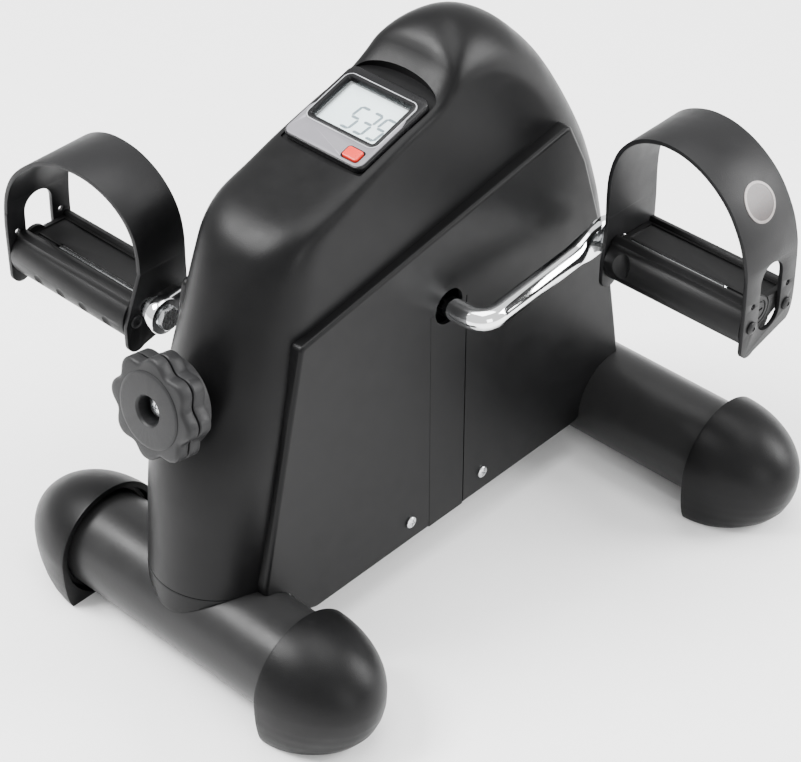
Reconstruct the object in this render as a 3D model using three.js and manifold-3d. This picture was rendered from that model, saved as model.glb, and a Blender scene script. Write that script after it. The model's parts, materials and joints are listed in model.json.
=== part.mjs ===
// Pedal exerciser: a folded-steel stand in a moulded housing, a bent crank with two pedals,
// a friction drum with a hand-screwed tension band, and a small counter in the top of the housing.
// Millimetres, +Z up. The crank's axle runs along X, the knob is at -Y, and the object stands on z = 0.
import * as THREE from 'three';
import { mergeVertices } from 'three/addons/utils/BufferGeometryUtils.js';
import Module from 'manifold-3d';

const wasm = await Module();
wasm.setup();

// ---------------------------------------------------------------- driving dimensions
const gap = 0.3; // clearance between pieces that touch
const smallGap = 0.15; // clearance around fasteners

const tubeRadius = 30;
const tubeWall = 2;
const tubeY = 152; // distance of each foot tube from the crank's axle, along Y
const tubeZ = 31;
const frontTubeHalf = 78; // from the centre plane to the inner face of a front foot cap
const rearTubeHalf = 132;
const capRadius = 37.4;
const capLength = 53;

const axleZ = 179;
const rodRadius = 6.5;
const crankLength = 113;
const armXAtBend = 69;
const armXAtPedal = 63.5;
const bendRadius = 14;

const housingWall = 3;
const panelX = 46; // outer face of the raised side panels
const slotHalfWidth = 15; // slot in each side panel that lets the housing drop over the crank
const slotHoleRadius = 11;
const skirtSeamZ = 60; // where the housing ends in front and the skirt begins

const pedalInnerX = 75;
const pedalOuterX = 176;
const strapThickness = 2.5;
const strapHalfWidth = 23;

const knobTilt = THREE.MathUtils.degToRad(-10);
const knobSeatY = -152;
const knobSeatZ = 181;
const knobRadius = 30.5;
const knobFaceOut = 29; // knob's face in front of the housing, along the knob's axis
const knobThickness = 16;

const consoleSlope = THREE.MathUtils.degToRad(17);
const consoleY = -23.7;
const consoleZ = 291.1;
const consoleWidth = 57.2;
const consoleLength = 57.9;

// ---------------------------------------------------------------- finishes
function finish(color, roughness, metalness = 0) {
  return new THREE.MeshStandardMaterial({ color, roughness, metalness });
}

const blackPlastic = () => finish(0x1b1b1c, 0.5);
const softBlack = () => finish(0x161617, 0.62);
const blackPaint = () => finish(0x1a1a1b, 0.42, 0.2);
const chrome = () => finish(0xe6e8ea, 0.08, 1);
const zincSteel = () => finish(0xb4b6b8, 0.35, 1);
const greySteel = () => finish(0x55585b, 0.5, 0.8);
const bronze = () => finish(0x8a6a3c, 0.45, 0.9);
const felt = () => finish(0x6d655a, 0.95);

// ---------------------------------------------------------------- solids and placing
const model = new THREE.Group();

function solid(geometry) {
  const bare = geometry.clone();
  bare.deleteAttribute('normal');
  bare.deleteAttribute('uv');
  const welded = mergeVertices(bare, 1e-4);
  return new wasm.Manifold(new wasm.Mesh({
    numProp: 3,
    vertProperties: new Float32Array(welded.attributes.position.array),
    triVerts: new Uint32Array(welded.index.array),
  }));
}

function geometryOf(manifold) {
  const mesh = manifold.getMesh();
  const geometry = new THREE.BufferGeometry();
  geometry.setAttribute('position', new THREE.BufferAttribute(new Float32Array(mesh.vertProperties), 3));
  geometry.setIndex(new THREE.BufferAttribute(new Uint32Array(mesh.triVerts), 1));
  geometry.computeVertexNormals();
  return geometry;
}

function cut(base, ...tools) {
  let result = solid(base);
  for (const tool of tools) {
    result = result.subtract(solid(tool));
  }
  return geometryOf(result);
}

function join(base, ...others) {
  let result = solid(base);
  for (const other of others) {
    result = result.add(solid(other));
  }
  return geometryOf(result);
}

function common(base, other) {
  return geometryOf(solid(base).intersect(solid(other)));
}

function part(name, geometry, material, parent = model) {
  const mesh = new THREE.Mesh(geometry, material);
  mesh.name = name;
  parent.add(mesh);
  return mesh;
}

function group(parent = model) {
  const made = new THREE.Group();
  parent.add(made);
  return made;
}

// ---------------------------------------------------------------- basic shapes
function box(x0, x1, y0, y1, z0, z1) {
  const geometry = new THREE.BoxGeometry(x1 - x0, y1 - y0, z1 - z0);
  return geometry.translate((x0 + x1) / 2, (y0 + y1) / 2, (z0 + z1) / 2);
}

function rodX(radius, x0, x1, y, z, sides = 24) {
  const geometry = new THREE.CylinderGeometry(radius, radius, x1 - x0, sides);
  return geometry.rotateZ(Math.PI / 2).translate((x0 + x1) / 2, y, z);
}

function rodY(radius, y0, y1, x, z, sides = 24) {
  return new THREE.CylinderGeometry(radius, radius, y1 - y0, sides).translate(x, (y0 + y1) / 2, z);
}

function rodZ(radius, z0, z1, x, y, sides = 24) {
  const geometry = new THREE.CylinderGeometry(radius, radius, z1 - z0, sides);
  return geometry.rotateX(Math.PI / 2).translate(x, y, (z0 + z1) / 2);
}

// A ring turned about X: the profile is a list of [radius, x], closed on itself.
function turnedX(profile, segments) {
  const points = profile.map(([radius, x]) => new THREE.Vector2(radius, x));
  points.push(points[0].clone());
  return new THREE.LatheGeometry(points, segments).rotateZ(-Math.PI / 2);
}

// An outline drawn in the YZ plane, made solid from x0 to x1.
const sideBasis = new THREE.Matrix4().makeBasis(
  new THREE.Vector3(0, 1, 0), new THREE.Vector3(0, 0, 1), new THREE.Vector3(1, 0, 0));

function sidePlate(shape, x0, x1, curveSegments = 8) {
  const geometry = new THREE.ExtrudeGeometry(shape, { depth: x1 - x0, bevelEnabled: false, curveSegments });
  return geometry.applyMatrix4(sideBasis).translate(x0, 0, 0);
}

function shapeOf(points) {
  return new THREE.Shape(points.map(([u, v]) => new THREE.Vector2(u, v)));
}

function mirrored(geometry) {
  const flipped = geometry.clone().scale(-1, 1, 1);
  const count = flipped.attributes.position.count;
  const index = flipped.index ? Array.from(flipped.index.array) : [...Array(count).keys()];
  for (let i = 0; i < index.length; i += 3) {
    [index[i], index[i + 1]] = [index[i + 1], index[i]];
  }
  flipped.setIndex(index);
  flipped.computeVertexNormals();
  return flipped;
}

const sides = [['right', 1], ['left', -1]];
const onSide = (geometry, sign) => (sign > 0 ? geometry : mirrored(geometry));

// ---------------------------------------------------------------- foot tubes and caps
function footTube(half) {
  const reach = half + capLength * 0.55;
  return cut(
    rodX(tubeRadius, -reach, reach, 0, tubeZ, 32),
    rodX(tubeRadius - tubeWall, -reach - 1, reach + 1, 0, tubeZ, 32),
  );
}

// Height of each level of a cap's lower half with its length and width, as shares of the full ones.
const capLevels = [
  [0, 0.66, 0.87], [2, 0.745, 0.9], [5, 0.82, 0.93], [10, 0.895, 0.96], [17, 0.955, 0.985], [24, 0.99, 0.997],
];

// A domed end cap that rolls in to a flat foot, drawn for the +X end with its flat inner face on x = 0.
function footCap() {
  const ring = (z, length, width) => Array.from({ length: 25 }, (_, i) => {
    const angle = (i / 24 - 0.5) * Math.PI;
    return new THREE.Vector3(capLength * length * Math.cos(angle), capRadius * width * Math.sin(angle), z);
  });
  const domeLevels = [0, 10, 20, 30, 40, 50, 60, 69, 77, 84].map(THREE.MathUtils.degToRad);
  const outer = lofted([
    ...capLevels.map(([z, length, width]) => ring(z, length, width)),
    ...domeLevels.map((a) => ring(tubeZ + capRadius * Math.sin(a), Math.cos(a), Math.cos(a))),
  ]);
  const recess = rodX(tubeRadius + 3.4, -1, 5, 0, tubeZ, 24);
  const socket = rodX(tubeRadius + gap, -1, capLength * 0.55 + gap, 0, tubeZ, 32);
  return cut(outer, recess, socket);
}

for (const [end, sign, half] of [['front', -1, frontTubeHalf], ['rear', 1, rearTubeHalf]]) {
  const foot = group();
  foot.position.y = sign * tubeY;
  part(`${end}_tube`, footTube(half), blackPaint(), foot);
  for (const [side, hand] of sides) {
    const cap = part(`${end}_cap_${side}`, onSide(footCap(), hand), softBlack(), foot);
    cap.position.x = hand * half;
  }
}

// ---------------------------------------------------------------- steel frame
const railHalfWidth = 20;
const railBottomZ = 18;
const railTopZ = 44;

function frameRail() {
  const wall = 2;
  const beam = box(-railHalfWidth, railHalfWidth, -tubeY, tubeY, railBottomZ, railTopZ);
  const boreHalf = railHalfWidth - wall;
  const bore = box(-boreHalf, boreHalf, -tubeY, tubeY, railBottomZ + wall, railTopZ - wall);
  const reach = railHalfWidth + 1;
  const mouth = (sign) => rodX(tubeRadius + gap, -reach, reach, sign * tubeY, tubeZ, 32);
  return cut(beam, bore, mouth(-1), mouth(1));
}
part('frame_rail', frameRail(), blackPaint());

const drumRadius = 44;
const bandInner = drumRadius + gap;
const bandOuter = bandInner + 3;
const anchorAngle = THREE.MathUtils.degToRad(157);
const anchorRadius = 3;
const anchorDistance = 52.5; // from the crank's axle to the pin that holds the band's upper end
const anchorY = anchorDistance * Math.cos(anchorAngle);
const anchorZ = axleZ + anchorDistance * Math.sin(anchorAngle);
const uprightX = 23;
const uprightThickness = 3;
const bushOuterRadius = 10;

// Each upright carries one bush, and a forward ear for the pin that anchors the friction band.
function bearingUpright() {
  const shape = new THREE.Shape();
  shape.moveTo(-38, railTopZ + gap);
  shape.lineTo(38, railTopZ + gap);
  shape.lineTo(16, axleZ);
  shape.absarc(0, axleZ, 16, 0, THREE.MathUtils.degToRad(125), false);
  shape.lineTo(anchorY + 2, anchorZ + 7);
  shape.absarc(anchorY, anchorZ, 7, Math.PI / 2, Math.PI * 1.25, false);
  shape.lineTo(-20, axleZ - 14);
  shape.closePath();
  shape.holes.push(new THREE.Path().absarc(0, axleZ, bushOuterRadius + gap, 0, 2 * Math.PI, true));
  shape.holes.push(new THREE.Path().absarc(anchorY, anchorZ, anchorRadius + gap, 0, 2 * Math.PI, true));
  return sidePlate(shape, uprightX - uprightThickness - 4, uprightX - 4, 10);
}

function spindleBush() {
  const bore = rodRadius + 0.35;
  return turnedX([
    [bore, uprightX - 8.5], [bushOuterRadius, uprightX - 8.5], [bushOuterRadius, uprightX - 3.6],
    [13, uprightX - 3.6], [13, uprightX], [bore, uprightX],
  ], 24).translate(0, 0, axleZ);
}

for (const [side, hand] of sides) {
  part(`bearing_upright_${side}`, onSide(bearingUpright(), hand), blackPaint());
  part(`spindle_bush_${side}`, onSide(spindleBush(), hand), bronze());
}

// ---------------------------------------------------------------- crank
const pedalEyeRadius = 11;
const boltRadius = 5;

function crankshaft() {
  const corner = new THREE.Vector3(armXAtBend, 0, 0);
  const eye = new THREE.Vector3(armXAtPedal, crankLength, 0);
  const along = eye.clone().sub(corner).normalize();
  const path = new THREE.CurvePath();
  const bendStart = new THREE.Vector3(armXAtBend - bendRadius, 0, 0);
  const bendEnd = corner.clone().addScaledVector(along, bendRadius);
  const armEnd = corner.clone().addScaledVector(along, crankLength - pedalEyeRadius);
  const opposite = (v) => new THREE.Vector3(-v.x, -v.y, v.z);
  path.add(new THREE.LineCurve3(opposite(armEnd), opposite(bendEnd)));
  path.add(new THREE.QuadraticBezierCurve3(opposite(bendEnd), opposite(corner), opposite(bendStart)));
  path.add(new THREE.LineCurve3(opposite(bendStart), bendStart));
  path.add(new THREE.QuadraticBezierCurve3(bendStart, corner, bendEnd));
  path.add(new THREE.LineCurve3(bendEnd, armEnd));
  const circle = new THREE.Shape().absarc(0, 0, rodRadius, 0, 2 * Math.PI, false);
  const rod = sweptRod(path, circle);
  const eyePlate = (sign) => {
    const shape = new THREE.Shape();
    const root = crankLength - 30;
    shape.moveTo(root, -rodRadius);
    shape.lineTo(crankLength, -pedalEyeRadius);
    shape.absarc(crankLength, 0, pedalEyeRadius, -Math.PI / 2, Math.PI / 2, false);
    shape.lineTo(root, rodRadius);
    shape.closePath();
    shape.holes.push(new THREE.Path().absarc(crankLength, 0, boltRadius + smallGap, 0, 2 * Math.PI, true));
    const plate = sidePlate(shape, -3.5, 3.5, 12).translate(armXAtPedal + 0.5, 0, 0);
    return sign > 0 ? plate : plate.rotateZ(Math.PI);
  };
  const boltClear = rodX(boltRadius + smallGap, -90, 90, crankLength, 0, 24);
  const boltClearLeft = rodX(boltRadius + smallGap, -90, 90, -crankLength, 0, 24);
  const whole = join(rod, eyePlate(1), eyePlate(-1));
  return cut(whole, boltClear, boltClearLeft).translate(0, 0, axleZ);
}

// A round bar along a path that starts and ends in straight lines: bends get close steps.
function sweptRod(path, circle) {
  const points = [];
  for (const curve of path.curves) {
    const steps = curve.isLineCurve3 ? 1 : 6;
    for (let i = points.length ? 1 : 0; i <= steps; i += 1) {
      points.push(curve.getPoint(i / steps));
    }
  }
  const route = new THREE.CurvePath();
  for (let i = 1; i < points.length; i += 1) {
    route.add(new THREE.LineCurve3(points[i - 1], points[i]));
  }
  const stops = points.length - 1;
  const even = new THREE.Curve();
  even.getPoint = (t) => {
    const scaled = Math.min(t * stops, stops - 1e-9);
    const leg = Math.floor(scaled);
    return points[leg].clone().lerp(points[leg + 1], scaled - leg);
  };
  even.getPointAt = even.getPoint;
  even.getTangentAt = (t) => {
    const index = Math.round(t * stops);
    const before = points[Math.max(index - 1, 0)];
    const after = points[Math.min(index + 1, stops)];
    return after.clone().sub(before).normalize();
  };
  return new THREE.ExtrudeGeometry(circle, { steps: stops, extrudePath: even, curveSegments: 8 });
}
part('crankshaft', crankshaft(), chrome());

// ---------------------------------------------------------------- friction drum, band and tension screw
function resistanceDrum() {
  const bore = rodRadius + gap;
  return turnedX([
    [bore, -12], [14, -12], [14, -5], [drumRadius - 6, -5], [drumRadius - 6, -10], [drumRadius, -10],
    [drumRadius, 10], [drumRadius - 6, 10], [drumRadius - 6, 5], [14, 5], [14, 12], [bore, 12],
  ], 32).translate(0, 0, axleZ);
}
part('resistance_drum', resistanceDrum(), greySteel());

const bandStart = THREE.MathUtils.degToRad(-158); // lower end, by the tension spring

function frictionBand() {
  const shape = new THREE.Shape();
  shape.absarc(0, 0, bandOuter, bandStart, anchorAngle, false);
  shape.absarc(0, 0, bandInner, anchorAngle, bandStart, true);
  shape.closePath();
  const wrap = sidePlate(shape, -8, 8, 28).translate(0, 0, axleZ);
  const eye = rodX(anchorRadius + 3, -8, 8, anchorY, anchorZ, 20);
  const pinHole = rodX(anchorRadius + gap, -9, 9, anchorY, anchorZ, 20);
  const drumSpace = rodX(bandInner, -9, 9, 0, axleZ, 56);
  return cut(join(wrap, eye), pinHole, drumSpace);
}
part('friction_band', frictionBand(), felt());

part('band_anchor_pin', rodX(anchorRadius, -uprightX + 1, uprightX - 1, anchorY, anchorZ, 16), zincSteel());

// The tension screw leans back with the front of the housing: +Y of this group runs into the housing.
const tension = group();
tension.position.set(0, knobSeatY, knobSeatZ);
tension.rotation.x = knobTilt;

const screwRadius = 4;
const screwTip = 62;

// A steel post on the rail, which the tension screw runs through.
function frontPost() {
  const postY = -124;
  const plate = box(-15, 15, postY, postY + 3, railTopZ + gap, knobSeatZ + 12);
  return cut(plate, alongScrew(rodY(screwRadius + 1, 15, 45, 0, 0, 20)));
}

function alongScrew(geometry) {
  return geometry.rotateX(knobTilt).translate(0, knobSeatY, knobSeatZ);
}
part('front_post', frontPost(), blackPaint());

// A disc with round lobes about the screw, from y0 to y1.
function lobedDisc(radius, lobeDepth, y0, y1) {
  const lobes = 8;
  const steps = 48;
  const outline = [];
  for (let i = 0; i < steps; i += 1) {
    const angle = (i / steps) * 2 * Math.PI;
    const reach = radius - lobeDepth * (1 - Math.cos(lobes * angle));
    outline.push([reach * Math.cos(angle), reach * Math.sin(angle)]);
  }
  const disc = new THREE.ExtrudeGeometry(shapeOf(outline), { depth: y1 - y0, bevelEnabled: false });
  return disc.rotateX(Math.PI / 2).translate(0, y1, 0);
}

function tensionKnob() {
  const backOfGrip = -knobFaceOut + knobThickness;
  const grip = lobedDisc(knobRadius, 2.6, -knobFaceOut, backOfGrip);
  const collar = lobedDisc(knobRadius - 5, 2, backOfGrip - 1, -8);
  const hub = rodY(11, -9, -4, 0, 0, 24);
  const bore = rodY(screwRadius + smallGap, -knobFaceOut + 8, 0, 0, 0, 24);
  const recess = rodY(8, -knobFaceOut - 1, -knobFaceOut + 7.5, 0, 0, 24);
  return cut(join(grip, collar, hub), bore, recess);
}

function knobScrew() {
  const head = rodY(5.5, -knobFaceOut + 4, -knobFaceOut + 7.5 - gap, 0, 0, 20);
  const slotAcross = box(-4, 4, -knobFaceOut + 3, -knobFaceOut + 5.2, -0.6, 0.6);
  const slotUp = box(-0.6, 0.6, -knobFaceOut + 3, -knobFaceOut + 5.2, -4, 4);
  return cut(head, slotAcross, slotUp);
}

function tensionScrew() {
  return rodY(screwRadius, -knobFaceOut + 8 + gap, screwTip, 0, 0, 20);
}

function slideNut() {
  return cut(box(-9, 9, 50, 58, -7, 7), rodY(screwRadius + 0.05 + gap, 48, 60, 0, 0, 24));
}

function coil(radius, wire, length, turns) {
  const helix = new THREE.Curve();
  helix.getPoint = (t) => {
    const angle = t * turns * 2 * Math.PI;
    return new THREE.Vector3(radius * Math.cos(angle), t * length, radius * Math.sin(angle));
  };
  const section = new THREE.Shape().absarc(0, 0, wire, 0, 2 * Math.PI, false);
  return new THREE.ExtrudeGeometry(section, { steps: turns * 8, extrudePath: helix, curveSegments: 3 });
}

part('tension_knob', tensionKnob(), softBlack(), tension);
part('knob_screw', knobScrew(), zincSteel(), tension);
part('tension_screw', tensionScrew(), zincSteel(), tension);
part('slide_nut', slideNut(), zincSteel(), tension);
const tensionSpring = coil(5.8, 0.9, 38, 7).translate(0, screwTip + 3, 0);
part('tension_spring', tensionSpring, zincSteel(), tension);


// ---------------------------------------------------------------- housing
// Level outlines of the housing: height, front and rear reach on the centre plane, half width,
// length of the rounded nose, and how square the nose is (2 is an ellipse).
const consoleFront = (z) => consoleY + (z - consoleZ) / Math.tan(consoleSlope);
const housingLevels = [
  { z: 20, front: -181, rear: 176, half: 41, nose: 41, square: 2 },
  { z: 60, front: -178, rear: 171, half: 41, nose: 41, square: 2 },
  { z: 120, front: -173, rear: 162, half: 41, nose: 41, square: 2 },
  { z: 145, front: -168, rear: 158, half: 41, nose: 41, square: 2 },
  { z: 170, front: -156, rear: 154, half: 41, nose: 41, square: 2.1 },
  { z: 200, front: -145, rear: 146, half: 40.5, nose: 41, square: 2.2 },
  { z: 225, front: -135, rear: 136, half: 39.5, nose: 41, square: 2.3 },
  { z: 245, front: -124, rear: 127, half: 38, nose: 41, square: 2.4 },
  { z: 258, front: -115, rear: 120, half: 37, nose: 42, square: 2.5 },
  { z: 267, front: -103, rear: 115, half: 36, nose: 42, square: 2.7 },
  { z: 274, front: consoleFront(274), rear: 111, half: 35.5, nose: 42, square: 3 },
  { z: 283, front: consoleFront(283), rear: 105.5, half: 34.5, nose: 40, square: 3.2 },
  { z: 292, front: consoleFront(292), rear: 98.5, half: 33, nose: 36, square: 3.2 },
  { z: 301, front: consoleFront(301), rear: 91, half: 31, nose: 32, square: 2.6 },
  { z: 309, front: 15, rear: 83, half: 28, nose: 27, square: 2.2 },
  { z: 316, front: 20, rear: 75, half: 23, nose: 22, square: 2 },
  { z: 322, front: 27, rear: 66, half: 16, nose: 16, square: 2 },
  { z: 327, front: 37, rear: 57, half: 9, nose: 9, square: 2 },
];
const housingRearCorner = 26;

function levelRing(level, inset, perQuarter) {
  const half = level.half - inset;
  const front = level.front + inset;
  const rear = level.rear - inset;
  const noseLength = Math.min(level.nose, (rear - front) * 0.5);
  const rearLength = Math.min(housingRearCorner, rear - front - noseLength);
  const ring = [];
  const corner = (angle, length, square, centreY) => {
    const x = half * Math.sign(Math.cos(angle)) * Math.abs(Math.cos(angle)) ** (2 / square);
    const y = centreY + length * Math.sign(Math.sin(angle)) * Math.abs(Math.sin(angle)) ** (2 / square);
    ring.push(new THREE.Vector3(x, y, level.z));
  };
  for (let i = 0; i <= 2 * perQuarter; i += 1) {
    corner(Math.PI + (i / (2 * perQuarter)) * Math.PI, noseLength, level.square, front + noseLength);
  }
  for (let i = 0; i <= 2 * perQuarter; i += 1) {
    corner((i / (2 * perQuarter)) * Math.PI, rearLength, 2.3, rear - rearLength);
  }
  return ring;
}

// A solid through a stack of rings that all have the same number of points.
function lofted(rings) {
  const count = rings[0].length;
  const positions = rings.flat().flatMap((point) => point.toArray());
  const index = [];
  for (let level = 0; level + 1 < rings.length; level += 1) {
    for (let i = 0; i < count; i += 1) {
      const a = level * count + i;
      const b = level * count + ((i + 1) % count);
      index.push(a, b, b + count, a, b + count, a + count);
    }
  }
  for (let i = 1; i + 1 < count; i += 1) {
    const top = (rings.length - 1) * count;
    index.push(0, i + 1, i, top, top + i, top + i + 1);
  }
  const geometry = new THREE.BufferGeometry();
  geometry.setAttribute('position', new THREE.Float32BufferAttribute(positions, 3));
  geometry.setIndex(index);
  return geometry;
}

// Side view of the raised panels, drawn in the YZ plane.
const panelBottomZ = 26;
const panelCorners = [
  [-146, 62], [-113, 212], [99, 250], [117, 220], [131, 180], [143, 120], [152, 62], [120, panelBottomZ],
  [-112, panelBottomZ],
];

function panelBlock(halfWidth, chamfer, scale) {
  const centreZ = 130;
  const corners = panelCorners.map(([y, z]) => [y * scale, centreZ + (z - centreZ) * scale]);
  const geometry = new THREE.ExtrudeGeometry(shapeOf(corners), {
    depth: 2 * (halfWidth - chamfer),
    bevelEnabled: chamfer > 0,
    bevelThickness: chamfer,
    bevelSize: chamfer,
    bevelOffset: -chamfer,
    bevelSegments: 1,
  });
  return geometry.applyMatrix4(sideBasis).translate(-(halfWidth - chamfer), 0, 0);
}

function inConsole(geometry) {
  return geometry.rotateX(consoleSlope).translate(0, consoleY, consoleZ);
}

const coverScrewY = 31;
const coverScrewZ = 41;
const coverScrewRadius = 1.6;

function coverScrewHoles(radius) {
  return [-coverScrewY, coverScrewY].map((y) => rodX(radius, -60, 60, y, coverScrewZ, 12));
}

function housingShell() {
  const outerRings = housingLevels.map((level) => levelRing(level, 0, 5));
  const innerLevels = housingLevels.filter((level, i) => i % 2 === 0 && level.z < 325);
  const innerRings = innerLevels.map((level) => levelRing(level, housingWall, 4));
  const lowered = innerRings.map((ring, i) => {
    const drop = i ? housingWall : 5;
    return ring.map((p) => p.clone().setZ(p.z - drop));
  });
  const outer = join(lofted(outerRings), panelBlock(panelX, 2.5, 1));
  const panelHollow = panelBlock(panelX - housingWall, 0, 0.965);
  const underside = box(-panelX + housingWall, panelX - housingWall, -109, 116, 10, 60);
  const hollow = join(lofted(lowered), panelHollow, underside);
  const frontFoot = box(-60, 60, -250, -tubeY, 0, skirtSeamZ);
  const rearFoot = box(-60, 60, tubeY, 250, 0, 40);
  const below = box(-60, 60, -250, 250, -10, panelBottomZ);
  const tubeGap = (sign) => rodX(tubeRadius + gap, -60, 60, sign * tubeY, tubeZ, 32);
  const slot = box(-60, 60, -slotHalfWidth, slotHalfWidth, 0, axleZ);
  const axleHole = rodX(slotHoleRadius, -60, 60, 0, axleZ, 24);
  const screwHole = alongScrew(rodY(screwRadius + 1.5, -20, 20, 0, 0, 20));
  const pocket = inConsole(box(-consoleWidth / 2 - gap, consoleWidth / 2 + gap,
    -consoleLength / 2 - gap, consoleLength / 2 + gap, -1.8, 40));
  const caseHole = inConsole(box(-25.6, 25.6, -27.6, 25.6, -14, 0));
  const cleared = cut(outer, hollow, frontFoot, rearFoot, below, tubeGap(-1), tubeGap(1), slot, axleHole);
  return cut(cleared, screwHole, pocket, caseHole, ...coverScrewHoles(coverScrewRadius + smallGap));
}
part('housing_shell', housingShell(), blackPlastic());

// The strip that closes each side slot, with a tab behind the panel for its two screws.
function slotCover() {
  const inner = panelX - housingWall;
  const back = inner - 2.6;
  const strip = box(back, panelX, -slotHalfWidth + gap, slotHalfWidth - gap, panelBottomZ, axleZ - gap);
  const tab = box(back, inner - gap, -coverScrewY - 7, coverScrewY + 7, coverScrewZ - 8, coverScrewZ + 8);
  const thinned = box(inner - 4, inner, -slotHalfWidth, slotHalfWidth, coverScrewZ + 8, axleZ + 1);
  const axleHole = rodX(slotHoleRadius, 20, 60, 0, axleZ, 24);
  return cut(join(cut(strip, thinned), tab), axleHole, ...coverScrewHoles(coverScrewRadius + smallGap));
}

function coverScrew(y) {
  const head = rodX(3.6, panelX + smallGap, panelX + 1.9, y, coverScrewZ, 16);
  const shank = rodX(coverScrewRadius, panelX - 8, panelX + 1, y, coverScrewZ, 12);
  const recess = (dy, dz) => box(panelX + 1, panelX + 3, y - dy, y + dy, coverScrewZ - dz, coverScrewZ + dz);
  return cut(join(head, shank), recess(2.2, 0.45), recess(0.45, 2.2));
}

for (const [side, hand] of sides) {
  part(`slot_cover_${side}`, onSide(slotCover(), hand), blackPlastic());
  part(`cover_screw_${side}_front`, onSide(coverScrew(-coverScrewY), hand), zincSteel());
  part(`cover_screw_${side}_rear`, onSide(coverScrew(coverScrewY), hand), zincSteel());
}

// The skirt under the front seam carries the housing's nose down onto the front tube.
function frontSkirt() {
  const bottom = { ...housingLevels[0], z: 12 };
  const top = { ...housingLevels[1], z: skirtSeamZ - gap };
  const nose = lofted([levelRing(bottom, 0, 5), levelRing(top, 0, 5)]);
  const frontOnly = box(-60, 60, -200, -tubeY - 1, tubeZ + 3, 80);
  return cut(common(nose, frontOnly), rodX(tubeRadius + gap, -60, 60, -tubeY, tubeZ, 48));
}
part('front_skirt', frontSkirt(), blackPlastic());

// ---------------------------------------------------------------- counter
const counter = group();
counter.position.set(0, consoleY, consoleZ);
counter.rotation.x = consoleSlope;

const screen = { half: 22, front: -10.5, rear: 19.5 };
const button = { x: 18, y: -22, halfX: 5.2, halfY: 3.6, travel: 1 };

function counterBezel() {
  const plate = box(-consoleWidth / 2, consoleWidth / 2, -consoleLength / 2, consoleLength / 2, -1.5, 1.5);
  const window = box(-screen.half, screen.half, screen.front, screen.rear, -3, 3);
  const keyhole = box(button.x - button.halfX - gap, button.x + button.halfX + gap,
    button.y - button.halfY - gap, button.y + button.halfY + gap, -3, 3);
  return cut(plate, window, keyhole);
}

function counterCase() {
  const shell = box(-25.3, 25.3, -27.3, 25.3, -17, -1.8);
  const inside = box(-23.8, 23.8, -25.9, 23.8, -15.5, 0);
  const leadHole = rodZ(1.6, -18, -15, 12, 10, 12);
  return cut(shell, inside, leadHole);
}

function modeButton() {
  const cap = box(button.x - button.halfX, button.x + button.halfX, button.y - button.halfY,
    button.y + button.halfY, -2.5, 2.8);
  const flange = box(button.x - 6.5, 23.4, -25.6, -15.5, -3.4, -1.8);
  return join(cap, flange);
}

part('counter_bezel', counterBezel(), blackPlastic(), counter);
part('counter_case', counterCase(), blackPlastic(), counter);
const glassHalf = screen.half - gap;
part('counter_window', box(-glassHalf, glassHalf, screen.front + gap, screen.rear - gap, 0.1, 1.3),
  finish(0xdfe8e8, 0.05), counter);
part('counter_display', box(-23.4, 23.4, -12, 21, -3.8, -1.8), finish(0xc3ccc8, 0.3), counter);
part('mode_button', modeButton(), finish(0xd22a1e, 0.35), counter);
part('counter_board', box(-23.4, 23.4, -23.4, 23.4, -9.4, -7.8), finish(0x1f5a34, 0.6), counter);
part('button_switch', box(button.x - 3, button.x + 3, button.y - 1.4, button.y + 4.6, -7.5, -4.8),
  finish(0x202020, 0.5), counter);
part('counter_battery', rodZ(5.8, -15.2, -9.7, -8, 0, 20), zincSteel(), counter);

// ---------------------------------------------------------------- turn counter's magnet, sensor and lead
const sensorRadius = 26; // distance of the magnet's path from the axle
const magnet = rodX(4, 5 + gap, 8.3, 0, axleZ - sensorRadius, 16);
part('sensor_magnet', magnet, zincSteel());
part('reed_sensor', box(10.6, 15.7, -5, 5, axleZ - sensorRadius - 5, axleZ - sensorRadius + 5), softBlack());

function sensorLead() {
  const start = new THREE.Vector3(12, 10, -17.3).applyAxisAngle(new THREE.Vector3(1, 0, 0), consoleSlope);
  start.add(new THREE.Vector3(0, consoleY, consoleZ));
  const route = new THREE.CatmullRomCurve3([
    start,
    new THREE.Vector3(12.6, -14, 255),
    new THREE.Vector3(13, -20, 200),
    new THREE.Vector3(13, -18, 168),
    new THREE.Vector3(13, -5.9, axleZ - sensorRadius),
  ]);
  const section = new THREE.Shape().absarc(0, 0, 1.1, 0, 2 * Math.PI, false);
  return new THREE.ExtrudeGeometry(section, { steps: 20, extrudePath: route, curveSegments: 4 });
}
part('sensor_lead', sensorLead(), softBlack());

// ---------------------------------------------------------------- pedals
const strapCentreY = 6;
const pedalMiddleX = (pedalOuterX + pedalInnerX) / 2;
const rivetSpread = 16;
const rivetZ = -5;

// Outer face of each strap from its outer end plate over the foot to its inner one (distance from the
// centre plane, height over the pedal's axle), and where the band's front edge meets the inner plate.
const strapArches = {
  right: {
    innerFront: -14,
    arch: [
      [176, 5], [175.5, 26], [174, 38], [169, 53], [159, 69], [145, 81], [129, 88], [113, 89.5], [99, 86],
      [88, 79], [80, 68], [75.5, 53], [74.5, 38], [75, 20], [75, 5],
    ],
  },
  left: {
    innerFront: -4,
    arch: [
      [176, 5], [175.5, 20], [173, 37], [166, 52], [154, 64], [141, 71.5], [127, 75], [110, 74], [95, 68],
      [84, 58.5], [77.5, 47], [75, 34], [75, 20], [75, 5],
    ],
  },
};

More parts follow.
